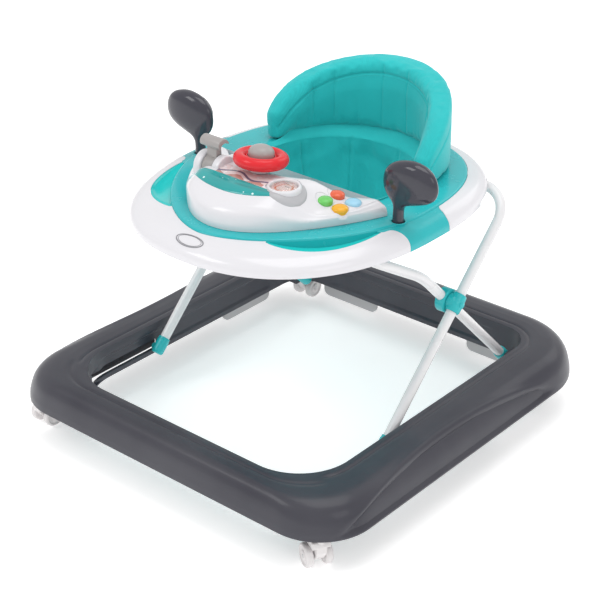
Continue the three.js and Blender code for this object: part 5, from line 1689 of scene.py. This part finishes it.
SLING_LEVELS = spline([(0, 1, 0), (0.06, 1.5, 0), (0.35, 7, 2), (0.65, 21, 6), (0.86, 43, 12),
                       (0.97, 66, 17),
                       (1.0, 92, 20), (1.005, 136, 22)], 7)


def sling_rim(angle):
    """Plan outline of the sling's top edge: over the deck at the front, under the pad at the back."""
    hole = hole_edge(angle, -5)
    ray = np.stack([np.cos(angle), np.sin(angle)], -1)
    offset = BACK_Y - HOLE_Y
    along = ray[:, 1] * offset
    reach = along + np.sqrt(np.maximum(along ** 2 - offset ** 2 + (BACK_INNER + 6) ** 2, 0))
    under_pad = ray * reach[:, None] + np.array([0, HOLE_Y])
    share = smooth_step(np.sin(angle), 0.12, 0.42)[:, None]
    return hole * (1 - share) + under_pad * share


SLING_SEAMS = (0.62, 1.36, 2.02, 2.68)


def sling_grid(columns=288):
    angle = turns(columns)
    rim = sling_rim(angle)
    behind = 8 * smooth_step(np.sin(angle), 0.12, 0.42)
    rows = [lifted(rim, np.full(columns, DECK_Z + 0.5)), lifted(rim, DECK_Z + 2.4 + behind)]
    lip = hole_edge(angle, -1.5)
    for share in (0.33, 0.66, 1.0):
        slope = behind * (1 - share) ** 1.4
        rows.append(lifted(rim * (1 - share) + lip * share, DECK_Z + 3 - 2.2 * share + slope))
    for share, drawn, back in SLING_LEVELS:
        inset = hole_edge(angle, 2.5) - np.array([0, HOLE_Y])
        size = np.linalg.norm(inset, axis=-1, keepdims=True)
        plan = inset * np.maximum(0.02, 1 - drawn / size) + np.array([0, HOLE_Y + back])
        rows.append(lifted(plan, np.full(columns, DECK_Z - 3 - 143 * share)))
    grid = np.stack(rows)
    below = DECK_Z - grid[..., 2]
    deep = smooth_step(below, 0, 34) * (1 - smooth_step(below, 120, 147))
    wander = angle[None, :] + 0.16 * np.sin(3 * angle[None, :] + below / 40)
    wave = (5.5 * (0.62 - np.abs(np.sin(2.5 * wander + 0.4))) + 3.6
            * (0.62 - np.abs(np.sin(4.5 * wander + below / 48)))
            + 1.2 * np.sin(13 * wander - below / 22 + 2.1))
    high = bell(below - 14, 16)
    some = smooth_step(np.sin(4 * angle + 0.9) + 0.4 * np.sin(7 * angle), -0.1, 0.9)
    gathers = 0.9 * (some * np.sin(34 * angle + 1.6 * np.sin(5 * angle)))[None, :] * high
    crease = 2.6 * bell(below - 52 - 22 * np.sin(2 * angle[None, :] + 0.6),
                        7) * np.sin(3 * angle - 0.5)[None, :]
    seam = sum(bell((angle - a + math.pi) % TAU - math.pi, 0.016) for a in SLING_SEAMS)[None, :]
    roll = sum(bell((angle - a + math.pi) % TAU - math.pi, 0.075) for a in SLING_SEAMS)[None, :]
    move = (wave + crease) * deep + gathers + (1.5 * roll - 3.2 * seam) * smooth_step(below, 0, 14)
    ray = np.stack([np.cos(angle), np.sin(angle), 0 * angle], -1)[None]
    ledge = np.array([0, 0.5, 1, 1, 0.6])[:, None] * smooth_step(np.sin(angle), 0.05, 0.4)[None, :]
    grid[:5, :, 2] += ledge * (0.45 * wave[:5] + 0.8 * gathers[:5] + 1.2)
    return grid - ray * move[..., None]


class WALKER_OT_seat_sling(bpy.types.Operator):
    """Fabric seat: a sewn bowl with two leg holes, gathered where it meets the pad"""
    bl_idname = "walker.seat_sling"
    bl_label = "Fabric seat"

    def execute(self, context):
        body = skinned("seat_sling_fabric", sling_grid(), False, True, cap_rows=False)
        with_modifier(body, "SOLIDIFY", thickness=3 * MM, offset=-1.0)
        for side in (1, -1):
            low, high = np.array([side * 66, -50, DECK_Z - 170]), np.array([side * 56, 40,
                                                                            DECK_Z - 80])
            axis = (high - low) / np.linalg.norm(high - low)
            leg = turned("leg", [(0, -40), (42, -40), (42, 130), (0, 130)], low, tuple(axis), 64)
            body = combined(body, leg, "DIFFERENCE")
        crisp(body, 50)
        points = points_of(body)
        across = np.arctan2(points[:, 1] - HOLE_Y, points[:, 0])
        size = np.hypot(points[:, 0], points[:, 1] - HOLE_Y)
        cloth_map(body, np.abs(across) * 120, points[:, 2] + size * 0.4)
        settled(body, "fabric", "tray", "teal_fabric", "seat_sling")
        return {"FINISHED"}


# ---------------------------------------------------------------- stage
CAMERA_PLACE = (1.4377, -1.7092, 1.3811)
CAMERA_AZIMUTH, CAMERA_ELEVATION, CAMERA_LENS = math.radians(40.4215), math.radians(27.9526), 96.59


def area_light(name, place, target, size, power, tint=(1, 1, 1)):
    light = bpy.data.lights.new(name, "AREA")
    light.shape = "RECTANGLE"
    light.size, light.size_y = size
    light.energy = power
    light.color = tint
    holder = bpy.data.objects.new(name, light)
    holder.location = place
    holder.rotation_euler = (Vector(target) - Vector(place)).to_track_quat("-Z", "Y").to_euler()
    bpy.context.scene.collection.objects.link(holder)


class WALKER_OT_stage(bpy.types.Operator):
    """Pale floor, soft studio light and the camera"""
    bl_idname = "walker.stage"
    bl_label = "Stage"

    def execute(self, context):
        scene = context.scene
        scene.view_settings.view_transform = "Standard"
        ground = new_object("floor", [(-9000, -9000, -0.4), (9000, -9000, -0.4), (9000, 9000, -0.4),
                                      (-9000, 9000, -0.4)],
                            [(0, 1, 2, 3)], smooth=False)
        ground.data.materials.append(pale_ground("studio_floor", (0.93, 0.93, 0.93)))
        world = bpy.data.worlds.new("studio")
        world.use_nodes = True
        world.node_tree.nodes["Background"].inputs["Color"].default_value = (1, 1, 1, 1)
        world.node_tree.nodes["Background"].inputs["Strength"].default_value = 0.72
        scene.world = world
        area_light("key", (-1.6, -2.6, 3.2), (0, 0, 0.3), (1.6, 1.6), 29)
        area_light("side", (3.0, -0.6, 2.2), (0, 0, 0.3), (1.4, 1.4), 9)
        area_light("top", (0.2, 0.4, 3.2), (0, 0, 0.2), (1.8, 1.8), 23)
        area_light("rear", (0.4, 3.0, 2.2), (0, 0, 0.35), (1.6, 1.6), 8)
        camera = bpy.data.objects.new("camera", bpy.data.cameras.new("camera"))
        camera.data.sensor_width = 36
        camera.data.lens = CAMERA_LENS
        camera.data.clip_end = 60
        camera.location = CAMERA_PLACE
        camera.rotation_euler = (math.pi / 2 - CAMERA_ELEVATION, 0, CAMERA_AZIMUTH)
        scene.collection.objects.link(camera)
        scene.camera = camera
        return {"FINISHED"}


# ---------------------------------------------------------------- add-on
OPERATORS = (
    WALKER_OT_stage, WALKER_OT_base_ring, WALKER_OT_base_fittings, WALKER_OT_casters,
    WALKER_OT_frame_tubes,
    WALKER_OT_frame_joints, WALKER_OT_tray, WALKER_OT_badge, WALKER_OT_tray_underside,
    WALKER_OT_console,
    WALKER_OT_steering, WALKER_OT_gear_lever, WALKER_OT_buttons, WALKER_OT_mirrors,
    WALKER_OT_seat_back,
    WALKER_OT_seat_sling)


class WALKER_PT_panel(bpy.types.Panel):
    """Lists the walker's pieces and its settings"""
    bl_idname = "WALKER_PT_panel"
    bl_label = "Baby Walker"
    bl_space_type = "VIEW_3D"
    bl_region_type = "UI"
    bl_category = "Walker"

    def draw(self, context):
        for settings in (context.scene.walker_colours, context.scene.walker_sizes):
            for name in settings.__annotations__:
                self.layout.prop(settings, name)
        for operator in OPERATORS:
            self.layout.operator(operator.bl_idname)


CLASSES = (WalkerColours, WalkerSizes, *OPERATORS, WALKER_PT_panel)


def register():
    for made in CLASSES:
        bpy.utils.register_class(made)
    bpy.types.Scene.walker_colours = PointerProperty(type=WalkerColours)
    bpy.types.Scene.walker_sizes = PointerProperty(type=WalkerSizes)


def unregister():
    del bpy.types.Scene.walker_sizes
    del bpy.types.Scene.walker_colours
    for made in reversed(CLASSES):
        bpy.utils.unregister_class(made)


def main():
    register()
    for operator in OPERATORS:
        family, name = operator.bl_idname.split(".")
        getattr(getattr(bpy.ops, family), name)()


if __name__ == "__main__":
    main()
